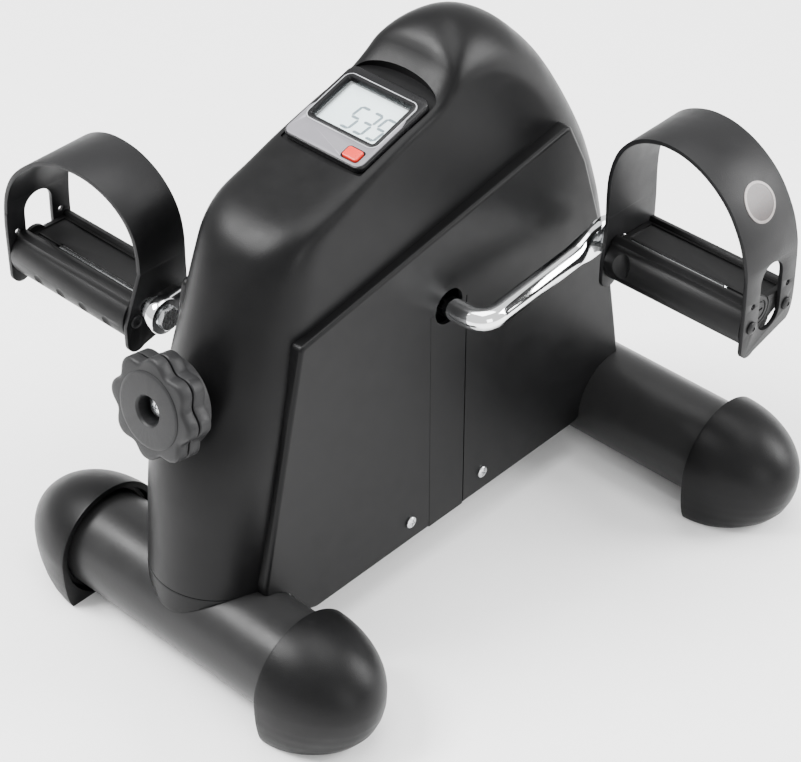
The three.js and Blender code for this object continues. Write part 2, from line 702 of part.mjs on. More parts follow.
function pedalBody() {
  const start = pedalInnerX + strapThickness + gap;
  const end = pedalOuterX - strapThickness - gap;
  const shape = new THREE.Shape();
  shape.moveTo(-8, 9.5);
  shape.absarc(-3, -6, 14.5, THREE.MathUtils.degToRad(110), THREE.MathUtils.degToRad(350), false);
  shape.lineTo(27.5, -2);
  shape.lineTo(27.5, 6.5);
  shape.lineTo(24, 7);
  shape.lineTo(23, 4.5);
  shape.lineTo(-4, 6);
  shape.closePath();
  const bore = rodX(boltRadius + 0.2, start - 1, 152, 0, 0, 24);
  const plugSeat = rodX(9 + gap, end - 3, end + 1, 0, 0, 24);
  const rivetSeats = [-1, 1].map((sign) => {
    const y = strapCentreY + sign * rivetSpread;
    return rodX(2.4, start - 1, end + 1, y, rivetZ, 10);
  });
  return cut(sidePlate(shape, start, end, 14), bore, plugSeat, ...rivetSeats);
}

// Cross-section of a strap in the XZ plane: its arch thickened inwards, with both ends run down to z = -40.
function strapSection(arch) {
  const curve = new THREE.SplineCurve(arch.map(([x, z]) => new THREE.Vector2(x, z)));
  const steps = 30;
  const outer = [new THREE.Vector2(pedalOuterX, -40)];
  const inner = [new THREE.Vector2(pedalOuterX - strapThickness, -40)];
  for (let i = 0; i <= steps; i += 1) {
    const point = curve.getPoint(i / steps);
    const tangent = curve.getTangent(i / steps);
    outer.push(point);
    const inwards = new THREE.Vector2(-tangent.y, tangent.x).multiplyScalar(strapThickness);
    inner.push(point.clone().add(inwards));
  }
  outer.push(new THREE.Vector2(pedalInnerX, -40));
  inner.push(new THREE.Vector2(pedalInnerX + strapThickness, -40));
  return new THREE.Shape([...outer, ...inner.reverse()]);
}

// The strap is one moulded strip: an end plate against each end of the pedal and an arch over the foot,
// narrowed in front towards its inner end.
function pedalStrap({ arch, innerFront }) {
  const depth = 2 * strapHalfWidth;
  const strip = new THREE.ExtrudeGeometry(strapSection(arch), { depth, bevelEnabled: false });
  strip.rotateX(Math.PI / 2).translate(0, strapCentreY + strapHalfWidth, 0);
  const front = strapCentreY - strapHalfWidth;
  const rear = strapCentreY + strapHalfWidth;
  const outline = new THREE.Shape();
  outline.moveTo(front, 100);
  outline.lineTo(front, -16);
  outline.absarc(front + 7, -18, 7, Math.PI, Math.PI * 1.72, false);
  outline.lineTo(rear - 7, -17);
  outline.quadraticCurveTo(rear, -10, rear, 2);
  outline.lineTo(rear, 100);
  outline.closePath();
  const slot = new THREE.Shape();
  slot.moveTo(strapCentreY - 10, -4);
  slot.absarc(strapCentreY, -4, 10, Math.PI, 2 * Math.PI, false);
  slot.absarc(strapCentreY, 20, 10, 0, Math.PI, false);
  slot.closePath();
  const narrowFrom = 24;
  const plan = shapeOf([
    [pedalInnerX - 5, front - 5],
    [pedalOuterX, front - 5],
    [pedalOuterX, front],
    [pedalInnerX - 5, innerFront],
  ]);
  const wedge = new THREE.ExtrudeGeometry(plan, { depth: 90, bevelEnabled: false });
  wedge.translate(0, 0, narrowFrom);
  const notch = shapeOf([[front - 5, -6], [front, -6], [innerFront, narrowFrom], [front - 5, narrowFrom]]);
  const besideSlot = [-1, 1].map((sign) => strapCentreY + sign * rivetSpread);
  const rivetHoles = besideSlot.map((y) => rodX(2.4, 60, 190, y, rivetZ, 8));
  const spareHoles = besideSlot.map((y) => rodX(1.8, pedalMiddleX, 190, y, 9, 8));
  const axle = rodX(boltRadius + 1, 60, 100, 0, 0, 16);
  const trimmed = common(strip, sidePlate(outline, 60, 190, 8));
  const narrowed = cut(trimmed, wedge, sidePlate(notch, 60, 80, 2), sidePlate(slot, pedalMiddleX, 190, 10));
  return cut(narrowed, axle, ...rivetHoles, ...spareHoles);
}

function pedalRivet(outer, sign) {
  const y = strapCentreY + sign * rivetSpread;
  const face = outer ? pedalOuterX : pedalInnerX;
  const out = outer ? 1 : -1;
  const span = (a, b) => [Math.min(face + out * a, face + out * b), Math.max(face + out * a, face + out * b)];
  const [head0, head1] = span(smallGap, 2);
  const [shank0, shank1] = span(-8, 1);
  return join(rodX(3.8, head0, head1, y, rivetZ, 12), rodX(2.1, shank0, shank1, y, rivetZ, 10));
}

function pedalBolt() {
  const head = rodX(7.5, armXAtPedal - 6.4, armXAtPedal - 3 - smallGap, 0, 0, 6);
  return join(head, rodX(boltRadius, armXAtPedal - 5, 150, 0, 0, 20));
}

function pedalNut() {
  const nut = rodX(8, armXAtPedal + 4 + smallGap, armXAtPedal + 9, 0, 0, 6);
  return cut(nut, rodX(boltRadius + smallGap, 50, 80, 0, 0, 20));
}

for (const [side, hand] of sides) {
  const pedal = group();
  pedal.position.set(0, hand * crankLength, axleZ);
  part(`pedal_bolt_${side}`, onSide(pedalBolt(), hand), greySteel(), pedal);
  part(`pedal_nut_${side}`, onSide(pedalNut(), hand), zincSteel(), pedal);
  part(`pedal_body_${side}`, onSide(pedalBody(), hand), softBlack(), pedal);
  part(`pedal_strap_${side}`, onSide(pedalStrap(strapArches[side]), hand), softBlack(), pedal);
  const plug = rodX(9, pedalOuterX - strapThickness - 3, pedalOuterX - strapThickness - gap, 0, 0, 20);
  part(`pedal_plug_${side}`, onSide(plug, hand), softBlack(), pedal);
  for (const [place, sign] of [['front', -1], ['rear', 1]]) {
    part(`strap_rivet_${side}_outer_${place}`, onSide(pedalRivet(true, sign), hand), softBlack(), pedal);
    part(`strap_rivet_${side}_inner_${place}`, onSide(pedalRivet(false, sign), hand), softBlack(), pedal);
  }
}

export default model;
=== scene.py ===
"""Pedal exerciser: the detailed visual model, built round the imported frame. Lengths here are millimetres."""
import json
import math
import bpy
import bmesh
import numpy as np
from mathutils import Matrix, Vector


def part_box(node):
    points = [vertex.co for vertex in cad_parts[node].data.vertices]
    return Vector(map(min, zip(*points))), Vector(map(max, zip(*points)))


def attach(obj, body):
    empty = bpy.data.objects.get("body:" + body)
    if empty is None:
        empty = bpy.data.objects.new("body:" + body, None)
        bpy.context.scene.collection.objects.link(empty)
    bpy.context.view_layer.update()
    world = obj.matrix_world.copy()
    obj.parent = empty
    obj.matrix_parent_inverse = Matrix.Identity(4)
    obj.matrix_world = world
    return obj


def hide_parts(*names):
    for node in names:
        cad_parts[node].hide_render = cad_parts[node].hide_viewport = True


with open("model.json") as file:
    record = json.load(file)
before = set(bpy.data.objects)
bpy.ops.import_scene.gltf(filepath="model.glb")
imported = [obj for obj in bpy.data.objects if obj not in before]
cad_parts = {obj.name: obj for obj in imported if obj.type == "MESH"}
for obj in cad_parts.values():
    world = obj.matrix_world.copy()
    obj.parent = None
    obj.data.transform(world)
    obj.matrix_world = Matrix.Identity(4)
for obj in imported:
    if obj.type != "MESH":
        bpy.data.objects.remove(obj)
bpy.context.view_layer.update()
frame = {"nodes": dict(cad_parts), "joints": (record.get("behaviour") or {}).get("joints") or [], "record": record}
MM = 0.001
SIDES = (("right", 1), ("left", -1))


# ---- places read from the frame
def box_mm(node):
    low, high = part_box(node)
    return np.array(low) / MM, np.array(high) / MM


def joint(name):
    return next(j for j in frame["joints"] if j["name"] == name)


AXLE_Z = joint("crank_spin")["pos_m"][2] / MM
CRANK_LENGTH = joint("right_pedal_spin")["pos_m"][1] / MM
KNOB_SEAT = np.array(joint("knob_turn")["pos_m"]) / MM
KNOB_TILT = math.atan2(joint("knob_turn")["axis"][2], joint("knob_turn")["axis"][1])
COUNTER_SLOPE = math.atan2(joint("button_press")["axis"][1], -joint("button_press")["axis"][2])
tube_low, tube_high = box_mm("front_tube")
TUBE_RADIUS = (tube_high[1] - tube_low[1]) / 2
TUBE_Z = (tube_high[2] + tube_low[2]) / 2
TUBE_Y = -(tube_high[1] + tube_low[1]) / 2
counter_low, counter_high = box_mm("counter_bezel")
COUNTER_CENTRE = (counter_low + counter_high) / 2
PANEL_X = box_mm("slot_cover_right")[1][0]
SEAM_Z = box_mm("front_skirt")[1][2]
SEAM_GAP = 0.5
SHARP_ANGLE = 32


# ---- mesh tools
def mesh_object(name, vertices, faces, sharp=SHARP_ANGLE):
    mesh = bpy.data.meshes.new(name)
    mesh.from_pydata([tuple(float(c) * MM for c in v) for v in vertices], [], faces)
    bm = bmesh.new()
    bm.from_mesh(mesh)
    bmesh.ops.remove_doubles(bm, verts=bm.verts, dist=1e-6)
    bmesh.ops.recalc_face_normals(bm, faces=bm.faces)
    bm.to_mesh(mesh)
    bm.free()
    obj = bpy.data.objects.new(name, mesh)
    bpy.context.scene.collection.objects.link(obj)
    smooth(obj, sharp)
    return obj


def smooth(obj, sharp):
    mesh = obj.data
    mesh.polygons.foreach_set("use_smooth", [True] * len(mesh.polygons))
    mesh.set_sharp_from_angle(angle=math.radians(sharp))
    mesh.update()
    return obj


def bake(obj):
    """Puts the result of the modifiers in place of the mesh."""
    depsgraph = bpy.context.evaluated_depsgraph_get()
    mesh = bpy.data.meshes.new_from_object(obj.evaluated_get(depsgraph))
    obj.modifiers.clear()
    obj.data = mesh
    return obj


def boolean(obj, operation, *tools):
    for tool in tools:
        modifier = obj.modifiers.new(operation, "BOOLEAN")
        modifier.operation = operation
        modifier.solver = "EXACT"
        modifier.object = tool
        smooth(bake(obj), SHARP_ANGLE)
        bpy.data.objects.remove(tool)
    return obj


def cut(obj, *tools):
    return boolean(obj, "DIFFERENCE", *tools)


def join(obj, *tools):
    return boolean(obj, "UNION", *tools)


def common(obj, *tools):
    return boolean(obj, "INTERSECT", *tools)


def bevel(obj, width, segments=2, angle=35, sharp=50):
    modifier = obj.modifiers.new("bevel", "BEVEL")
    modifier.width = width * MM
    modifier.segments = segments
    modifier.limit_method = "ANGLE"
    modifier.angle_limit = math.radians(angle)
    modifier.use_clamp_overlap = True
    modifier.harden_normals = False
    return smooth(bake(obj), sharp)


def even_normals(obj):
    """Lets large flat faces set the shading of the rounded edges beside them."""
    modifier = obj.modifiers.new("even normals", "WEIGHTED_NORMAL")
    modifier.keep_sharp = True
    modifier.weight = 90
    return bake(obj)


def place(obj, matrix):
    """Bakes a placing, given in millimetres, into the mesh."""
    scaled = matrix.copy()
    scaled.translation = matrix.translation * MM
    obj.data.transform(scaled)
    obj.data.update()
    return obj


def mirrored(obj, hand, name):
    """Leaves a piece as drawn for the right side, or makes it its mirror image for the left."""
    if hand < 0:
        obj.data.transform(Matrix.Scale(-1, 4, (1, 0, 0)))
        obj.data.flip_normals()
    obj.name = name
    return obj


AXES = {"x": (0, 1, 2), "y": (1, 2, 0), "z": (2, 0, 1)}


def along(axis, a, u, v):
    point = [0.0, 0.0, 0.0]
    first, second, third = AXES[axis]
    point[first], point[second], point[third] = a, u, v
    return point


def band(lower, upper, count):
    """The faces between two closed rows of vertices, given the first vertex of each."""
    return [[lower + i, lower + (i + 1) % count, upper + (i + 1) % count, upper + i] for i in range(count)]


def prism(name, outline, axis, a0, a1, sharp=SHARP_ANGLE):
    """outline holds (u, v) on the two axes after axis, in X, Y, Z order round."""
    n = len(outline)
    vertices = [along(axis, a, u, v) for a in (a0, a1) for u, v in outline]
    faces = [list(range(n))[::-1], list(range(n, 2 * n)), *band(0, n, n)]
    return mesh_object(name, vertices, faces, sharp)


def block(name, x0, x1, y0, y1, z0, z1):
    return prism(name, [(x0, y0), (x1, y0), (x1, y1), (x0, y1)], "z", z0, z1)


def turned(name, profile, axis, u=0.0, v=0.0, segments=64, sharp=SHARP_ANGLE):
    """A profile of (radius, place on the axis), turned about the axis through (u, v)."""
    vertices, faces, rows = [], [], []
    for radius, a in profile:
        if radius < 1e-6:
            rows.append([len(vertices)] * segments)
            vertices.append(along(axis, a, u, v))
            continue
        rows.append(list(range(len(vertices), len(vertices) + segments)))
        for i in range(segments):
            t = 2 * math.pi * i / segments
            vertices.append(along(axis, a, u + radius * math.cos(t), v + radius * math.sin(t)))
    closed = profile[0][0] > 1e-6
    pairs = list(zip(rows, rows[1:] + rows[:1] if closed else rows[1:]))
    for lower, upper in pairs:
        for i in range(segments):
            k = (i + 1) % segments
            face = list(dict.fromkeys((lower[i], lower[k], upper[k], upper[i])))
            if len(face) > 2:
                faces.append(face)
    return mesh_object(name, vertices, faces, sharp)


def rod(name, radius, axis, a0, a1, u=0.0, v=0.0, segments=48):
    return turned(name, [(0, a0), (radius, a0), (radius, a1), (0, a1)], axis, u, v, segments)


def rounded(corners, radii, steps=6):
    """An outline with each corner replaced by an arc of its radius."""
    outline = []
    count = len(corners)
    for i, (corner, radius) in enumerate(zip(corners, radii)):
        here = np.array(corner, float)
        to_last = np.array(corners[i - 1], float) - here
        to_next = np.array(corners[(i + 1) % count], float) - here
        to_last /= np.linalg.norm(to_last)
        to_next /= np.linalg.norm(to_next)
        half = math.acos(max(-1, min(1, float(to_last @ to_next)))) / 2
        if radius <= 0 or half > math.radians(89):
            outline.append(tuple(here))
            continue
        start = here + to_last * radius / math.tan(half)
        end = here + to_next * radius / math.tan(half)
        centre = here + (to_last + to_next) / np.linalg.norm(to_last + to_next) * radius / math.sin(half)
        a0 = math.atan2(*(start - centre)[::-1])
        sweep = (math.atan2(*(end - centre)[::-1]) - a0 + math.pi) % (2 * math.pi) - math.pi
        for k in range(steps + 1):
            t = a0 + sweep * k / steps
            outline.append((centre[0] + radius * math.cos(t), centre[1] + radius * math.sin(t)))
    return outline


def rounded_block(name, x0, x1, y0, y1, z0, z1, corner, edge=0.0, segments=3):
    outline = rounded([(x0, y0), (x1, y0), (x1, y1), (x0, y1)], [corner] * 4)
    obj = prism(name, outline, "z", z0, z1)
    return bevel(obj, edge, segments, 50) if edge else obj


def arc(centre_u, centre_v, radius, start, end, steps):
    turns = [math.radians(start + (end - start) * i / steps) for i in range(steps + 1)]
    return [(centre_u + radius * math.cos(t), centre_v + radius * math.sin(t)) for t in turns]


def loft(name, rings, sharp=SHARP_ANGLE):
    """Closed skin through rings that have the same number of points, with flat ends."""
    n = len(rings[0])
    vertices = [p for ring in rings for p in ring]
    faces = [list(range(n))[::-1], [(len(rings) - 1) * n + i for i in range(n)]]
    for r in range(len(rings) - 1):
        faces += band(r * n, (r + 1) * n, n)
    return mesh_object(name, vertices, faces, sharp)


# ---- materials
class Nodes:
    """A small builder for one material's node tree."""

    def __init__(self, name):
        self.material = bpy.data.materials.new(name)
        self.material.use_nodes = True
        self.tree = self.material.node_tree
        self.shader = self.tree.nodes["Principled BSDF"]
        self.place = self.tree.nodes.new("ShaderNodeTexCoord").outputs["Object"]

    def link(self, a, b):
        self.tree.links.new(a, b)

    def noise(self, scale, detail=3.0, roughness=0.55, stretch=(1, 1, 1)):
        mapping = self.tree.nodes.new("ShaderNodeMapping")
        mapping.inputs["Scale"].default_value = stretch
        self.link(self.place, mapping.inputs["Vector"])
        node = self.tree.nodes.new("ShaderNodeTexNoise")
        node.inputs["Scale"].default_value = scale
        node.inputs["Detail"].default_value = detail
        node.inputs["Roughness"].default_value = roughness
        self.link(mapping.outputs["Vector"], node.inputs["Vector"])
        return node.outputs["Fac"]

    def cells(self, scale):
        node = self.tree.nodes.new("ShaderNodeTexVoronoi")
        node.inputs["Scale"].default_value = scale
        self.link(self.place, node.inputs["Vector"])
        return node.outputs["Distance"]

    def edges(self, low, high):
        """Bright where the surface is convex, as on worn edges."""
        geometry = self.tree.nodes.new("ShaderNodeNewGeometry")
        return self.span(geometry.outputs["Pointiness"], low, high, 0.0, 1.0)

    def span(self, value, from_low, from_high, to_low, to_high):
        node = self.tree.nodes.new("ShaderNodeMapRange")
        limits = {"From Min": from_low, "From Max": from_high, "To Min": to_low, "To Max": to_high}
        for key, number in limits.items():
            node.inputs[key].default_value = number
        self.link(value, node.inputs["Value"])
        return node.outputs["Result"]

    def mix(self, factor, dark, light):
        node = self.tree.nodes.new("ShaderNodeMix")
        node.data_type = "RGBA"
        self.link(factor, node.inputs["Factor"])
        for socket, value in ((node.inputs[6], dark), (node.inputs[7], light)):
            if isinstance(value, tuple):
                socket.default_value = (*value, 1.0)
            else:
                self.link(value, socket)
        return node.outputs[2]

    def maths(self, operation, a, b):
        node = self.tree.nodes.new("ShaderNodeMath")
        node.operation = operation
        for socket, value in zip(node.inputs, (a, b)):
            if isinstance(value, (int, float)):
                socket.default_value = value
            else:
                self.link(value, socket)
        return node.outputs["Value"]

    def colour(self, value):
        self.link(value, self.shader.inputs["Base Color"])

    def roughness(self, value):
        self.link(value, self.shader.inputs["Roughness"])

    def bump(self, height, distance, strength=1.0):
        node = self.tree.nodes.new("ShaderNodeBump")
        node.inputs["Distance"].default_value = distance * MM
        node.inputs["Strength"].default_value = strength
        self.link(height, node.inputs["Height"])
        self.link(node.outputs["Normal"], self.shader.inputs["Normal"])

    def set(self, **sockets):
        for key, value in sockets.items():
            self.shader.inputs[key.replace("_", " ")].default_value = value
        return self.material


def moulded(name, colour, roughness, grain=0.05, wear=0.12, specular=0.5):
    """Moulded plastic: a fine spark-eroded grain, uneven gloss, and paler handled edges."""
    n = Nodes(name)
    broad = n.noise(14.0, 4.0)
    dust = n.noise(90.0, 5.0, 0.65)
    worn = tuple(min(1.0, c * 2.6 + wear * 0.25) for c in colour)
    darker, lighter = (tuple(c * share for c in colour) for share in (0.86, 1.14))
    tone = n.mix(n.span(broad, 0.3, 0.7, 0.0, 1.0), darker, lighter)
    edge = n.maths("MULTIPLY", n.edges(0.53, 0.62), n.span(dust, 0.4, 0.62, 0.1, 1.0))
    n.colour(n.mix(n.maths("MULTIPLY", edge, wear * 2.2), tone, worn))
    uneven = n.maths("ADD", n.span(broad, 0.3, 0.7, -0.035, 0.035), n.span(dust, 0.35, 0.7, -0.03, 0.05))
    n.roughness(n.maths("ADD", uneven, roughness))
    fine = n.noise(2600.0, 2.0, 0.6)
    pits = n.span(n.cells(1900.0), 0.0, 0.7, 0.0, 1.0)
    n.bump(n.maths("ADD", fine, n.maths("MULTIPLY", pits, 0.7)), grain)
    return n.set(Specular_IOR_Level=specular)


def painted(name, colour, roughness, specular):
    """Powder paint: orange peel and a few rubbed spots."""
    n = Nodes(name)
    peel = n.noise(420.0, 2.0, 0.4)
    rub = n.noise(34.0, 6.0, 0.7)
    tone = n.mix(n.span(rub, 0.35, 0.75, 0.0, 1.0), colour, tuple(c * 1.5 for c in colour))
    n.colour(n.mix(n.maths("MULTIPLY", n.edges(0.54, 0.66), 0.4), tone, (0.12, 0.12, 0.12)))
    n.roughness(n.span(rub, 0.3, 0.75, roughness - 0.04, roughness + 0.09))
    n.bump(peel, 0.035)
    return n.set(Specular_IOR_Level=specular)


def metal(name, colour, roughness, stretch=(1, 1, 1), scale=700.0, depth=0.004, spots=0.12):
    """Bare or plated metal: fine scratches along one way, and faint clouding."""
    n = Nodes(name)
    cloud = n.noise(46.0, 5.0, 0.65)
    lines = n.noise(scale, 3.0, 0.6, stretch)
    n.colour(n.mix(n.span(cloud, 0.3, 0.72, 0.0, 1.0), tuple(c * (1 - spots) for c in colour), colour))
    rough = n.maths("ADD", n.span(lines, 0.3, 0.7, -0.02, 0.05), n.span(cloud, 0.4, 0.8, 0.0, 0.06))
    n.roughness(n.maths("ADD", rough, roughness))
    n.bump(lines, depth)
    return n.set(Metallic=1.0)


def pressed_felt(name):
    n = Nodes(name)
    fibres = n.noise(1500.0, 6.0, 0.75, (1, 0.3, 1))
    n.colour(n.mix(fibres, (0.16, 0.14, 0.11), (0.38, 0.34, 0.28)))
    n.roughness(n.span(fibres, 0.2, 0.8, 0.85, 1.0))
    n.bump(fibres, 0.3)
    return n.set(Specular_IOR_Level=0.2, Sheen_Weight=0.4)


def display_film(name):
    """The reflective face of a liquid crystal display."""
    n = Nodes(name)
    cloud = n.noise(30.0, 3.0)
    grid = n.noise(2400.0, 1.0)
    n.colour(n.mix(n.span(cloud, 0.3, 0.7, 0.0, 1.0), (0.66, 0.77, 0.79), (0.74, 0.84, 0.86)))
    n.roughness(n.span(grid, 0.3, 0.7, 0.3, 0.45))
    n.bump(grid, 0.004)
    return n.set(Specular_IOR_Level=0.4)


def clear_window(name):
    n = Nodes(name)
    smear = n.noise(80.0, 4.0)
    n.colour(n.mix(smear, (0.90, 0.94, 0.94), (0.96, 0.98, 0.98)))
    n.roughness(n.span(smear, 0.3, 0.7, 0.03, 0.1))
    n.bump(smear, 0.004)
    n.material.surface_render_method = "BLENDED"
    return n.set(Alpha=0.05, Specular_IOR_Level=0.35)


def printed_film(name, light, dark):
    """Plain printed film: two close tones in a fine speckle, with a slightly uneven gloss."""
    n = Nodes(name)
    speck = n.noise(900.0, 3.0)
    n.colour(n.mix(n.span(speck, 0.35, 0.65, 0.0, 1.0), dark, light))
    n.roughness(n.span(speck, 0.3, 0.7, 0.3, 0.42))
    n.bump(speck, 0.004)
    return n.set(Specular_IOR_Level=0.5)


MAT = {
    "housing": moulded("housing_plastic", (0.0034, 0.0034, 0.0036), 0.36, 0.03, 0.05, 0.12),
    "cap": moulded("cap_plastic", (0.0034, 0.0034, 0.0036), 0.38, 0.035, 0.06, 0.13),
    "pedal": moulded("pedal_plastic", (0.0036, 0.0036, 0.0038), 0.42, 0.05, 0.02, 0.18),
    "strap": moulded("strap_plastic", (0.0050, 0.0050, 0.0054), 0.44, 0.045, 0.05, 0.19),
    "knob": moulded("knob_plastic", (0.0075, 0.0075, 0.0080), 0.46, 0.06, 0.08, 0.22),
    "bezel": moulded("bezel_plastic", (0.0045, 0.0045, 0.0050), 0.28, 0.012, 0.05, 0.20),
    "bezel_rim": moulded("bezel_rim", (0.34, 0.345, 0.36), 0.24, 0.008, 0.1),
    "faceplate": moulded("faceplate_grey", (0.15, 0.145, 0.16), 0.34, 0.012, 0.2, 0.4),
    "red": moulded("button_red", (0.62, 0.025, 0.015), 0.28, 0.01, 0.05),
    "segment": moulded("display_segment", (0.075, 0.12, 0.14), 0.4, 0.004, 0.0, 0.2),
    "dark": moulded("dark_plastic", (0.03, 0.03, 0.03), 0.45, 0.03, 0.1),
    "board": moulded("board_green", (0.03, 0.15, 0.06), 0.3, 0.02, 0.1),
    "tube": painted("tube_paint", (0.0042, 0.0042, 0.0044), 0.34, 0.17),
    "frame": painted("frame_paint", (0.018, 0.018, 0.018), 0.42, 0.5),
    "chrome": metal("chrome_plate", (0.90, 0.91, 0.92), 0.045, (1, 0.04, 1), 500.0, 0.0006, 0.05),
    "drum": metal("turned_steel", (0.42, 0.43, 0.44), 0.30, (6, 1, 1), 900.0, 0.008),
    "zinc": metal("zinc_plate", (0.66, 0.67, 0.68), 0.24, (1, 1, 0.1), 1200.0, 0.003),
    "bronze": metal("sintered_bronze", (0.50, 0.34, 0.16), 0.42, (1, 1, 1), 2200.0, 0.012, 0.3),
    "felt": pressed_felt("pressed_felt"),
    "film": display_film("display_film"),
    "window": clear_window("clear_window"),
    "disc": printed_film("strap_disc_field", (0.045, 0.028, 0.026), (0.022, 0.018, 0.018)),
    "disc_rim": printed_film("strap_disc_rim", (0.22, 0.20, 0.19), (0.15, 0.13, 0.125)),
}
SLOT_LOOK = {
    "housing_plastic": "housing", "cap_plastic": "cap", "tube_paint": "tube", "frame_paint": "frame",
    "chrome": "chrome", "drum_steel": "drum", "zinc": "zinc", "bronze": "bronze", "felt": "felt",
    "pedal_plastic": "pedal", "strap_plastic": "strap", "knob_plastic": "knob", "bezel_plastic": "bezel",
    "window": "window", "lcd": "film", "button_red": "red", "board": "board", "dark_plastic": "dark",
}


def dress(obj, look):
    obj.data.materials.clear()
    obj.data.materials.append(MAT[look])
    return obj


def piece(obj, look, slot, body, *nodes):
    """Gives a finished piece its material and body, and hides the CAD nodes it stands for. The slot is not used.
    """
    dress(obj, look)
    if nodes:
        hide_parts(*nodes)
    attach(obj, body)
    return obj


for entry in frame["record"]["subparts"]:
    dress(frame["nodes"][entry["node"]], SLOT_LOOK[entry["material_slot"]])


# ---- camera, light and floor
CAMERA_AZIMUTH = math.radians(43.0)
CAMERA_ELEVATION = math.radians(38.0)
CAMERA_DISTANCE = 1393.4
CAMERA_TARGET = Vector((14.15, -5.2, 112.7))
CAMERA_LENS = 109.07
WORLD_STRENGTH = 1.35
FLOOR_REACH = 6e3


def aim(obj, position, target):
    obj.location = Vector(position) * MM
    obj.rotation_mode = "QUATERNION"
    obj.rotation_quaternion = (Vector(target) - Vector(position)).to_track_quat("-Z", "Y")
    bpy.context.scene.collection.objects.link(obj)


def make_camera():
    data = bpy.data.cameras.new("camera")
    data.lens = CAMERA_LENS
    data.sensor_width = 36.0
    flat = math.cos(CAMERA_ELEVATION)
    across, ahead = math.sin(CAMERA_AZIMUTH) * flat, -math.cos(CAMERA_AZIMUTH) * flat
    back = Vector((across, ahead, math.sin(CAMERA_ELEVATION)))
    camera = bpy.data.objects.new("camera", data)
    aim(camera, CAMERA_TARGET + back * CAMERA_DISTANCE, CAMERA_TARGET)
    bpy.context.scene.camera = camera


def area_light(name, position, target, width, height, power):
    data = bpy.data.lights.new(name, "AREA")
    data.shape = "RECTANGLE"
    data.size = width * MM
    data.size_y = height * MM
    data.energy = power
    aim(bpy.data.objects.new(name, data), position, target)


def make_studio():
    area_light("key_light", (-900, -900, 1700), (0, 0, 150), 900, 700, 92)
    area_light("rim_light", (1300, 1500, 1100), (20, 40, 200), 900, 1300, 80)
    area_light("side_light", (1900, -500, 700), (40, 0, 150), 700, 1000, 12)
    area_light("top_light", (0, 200, 2000), (0, 0, 0), 1400, 1400, 44)
    world = bpy.data.worlds.new("studio")
    bpy.context.scene.world = world
    world.use_nodes = True
    world.node_tree.nodes["Background"].inputs["Color"].default_value = (1.0, 1.0, 1.0, 1.0)
    world.node_tree.nodes["Background"].inputs["Strength"].default_value = WORLD_STRENGTH
    corners = [(x * FLOOR_REACH, y * FLOOR_REACH, 0) for x, y in ((-1, -1), (1, -1), (1, 1), (-1, 1))]
    floor = mesh_object("floor", corners, [[0, 1, 2, 3]])
    n = Nodes("floor_paper")
    grain = n.noise(60.0, 4.0)
    n.colour(n.mix(grain, (0.90, 0.90, 0.90), (0.93, 0.93, 0.93)))
    n.roughness(n.span(grain, 0.3, 0.7, 0.75, 0.85))
    floor.data.materials.append(n.set(Specular_IOR_Level=0.1))


make_camera()
make_studio()


# ---- housing
WALL = 3.0
BASE_Z = 12.0
SPINE_Y = 5.0
SPINE_Z = 190.0
# How far the cutting tools reach, past the housing's sides and past its ends.
PAST_X = 70.0
PAST_Y = 260.0
COUNTER_Y, COUNTER_Z = COUNTER_CENTRE[1], COUNTER_CENTRE[2]


def counter_plane_y(z):
    return COUNTER_Y + (z - COUNTER_Z) / math.tan(COUNTER_SLOPE)


# Side view of the housing on its centre plane, from the front foot over the top to the rear foot,
# with the depth of the rounding at each point and how square it is (2 is a round nose).
SIDE_VIEW = [
    (-181.3, 12, 41, 2.0), (-180.5, 25, 41, 2.0), (-178, 60, 41, 2.0), (-175, 95, 41, 2.0),
    (-172, 125, 41, 2.0), (-166.5, 148, 41, 2.0), (-156, 171, 41, 2.05), (-145, 199, 40, 2.15),
    (-135, 223, 38, 2.25), (-125, 244, 34, 2.5), (-115, 258.5, 28, 2.9), (-100, 268.5, 21, 3.6),
    (counter_plane_y(275.5), 275.5, 15, 4.6), (counter_plane_y(283), 283, 11, 5.6),
    (counter_plane_y(292), 292, 10, 6.0), (counter_plane_y(300), 300, 11, 5.4),
    (17, 310, 15, 3.6), (25, 320, 21, 2.7), (36, 326.4, 26, 2.2), (47, 327.9, 28, 2.0),
    (60, 325, 28, 2.0), (75, 316.5, 28, 2.1), (89, 304, 28, 2.2), (103, 288, 28, 2.3),
    (119, 262.5, 27, 2.4), (137, 226, 27, 2.5), (149, 188, 26, 2.6), (158, 150, 26, 2.6),
    (165.5, 105, 26, 2.6), (171, 60, 26, 2.6), (176, 12, 26, 2.6),
]
HALF_WIDTH = [(0, 41), (180, 41), (225, 39.7), (250, 37.8), (266, 36.3), (283, 34.8), (300, 33), (329, 31)]


def side_curve(samples=2400):
    """The side view as a smooth curve through its points, evenly sampled by length."""
    points = np.array(SIDE_VIEW, float)
    step = np.linalg.norm(np.diff(points[:, :2], axis=0), axis=1) ** 0.5
    t = np.concatenate([[0], np.cumsum(step)])
    slope = np.gradient(points, t, axis=0)
    at = np.linspace(0, t[-1], samples)
    k = np.clip(np.searchsorted(t, at, side="right") - 1, 0, len(t) - 2)
    h = (t[k + 1] - t[k])[:, None]
    u = ((at - t[k]) / (t[k + 1] - t[k]))[:, None]
    curve = (
        (2 * u**3 - 3 * u**2 + 1) * points[k]
        + (u**3 - 2 * u**2 + u) * h * slope[k]
        + (-2 * u**3 + 3 * u**2) * points[k + 1]
        + (u**3 - u**2) * h * slope[k + 1]
    )
    return curve


def half_width(z):
    table = np.array(HALF_WIDTH, float)
    return float(np.interp(z, table[:, 0], table[:, 1]))


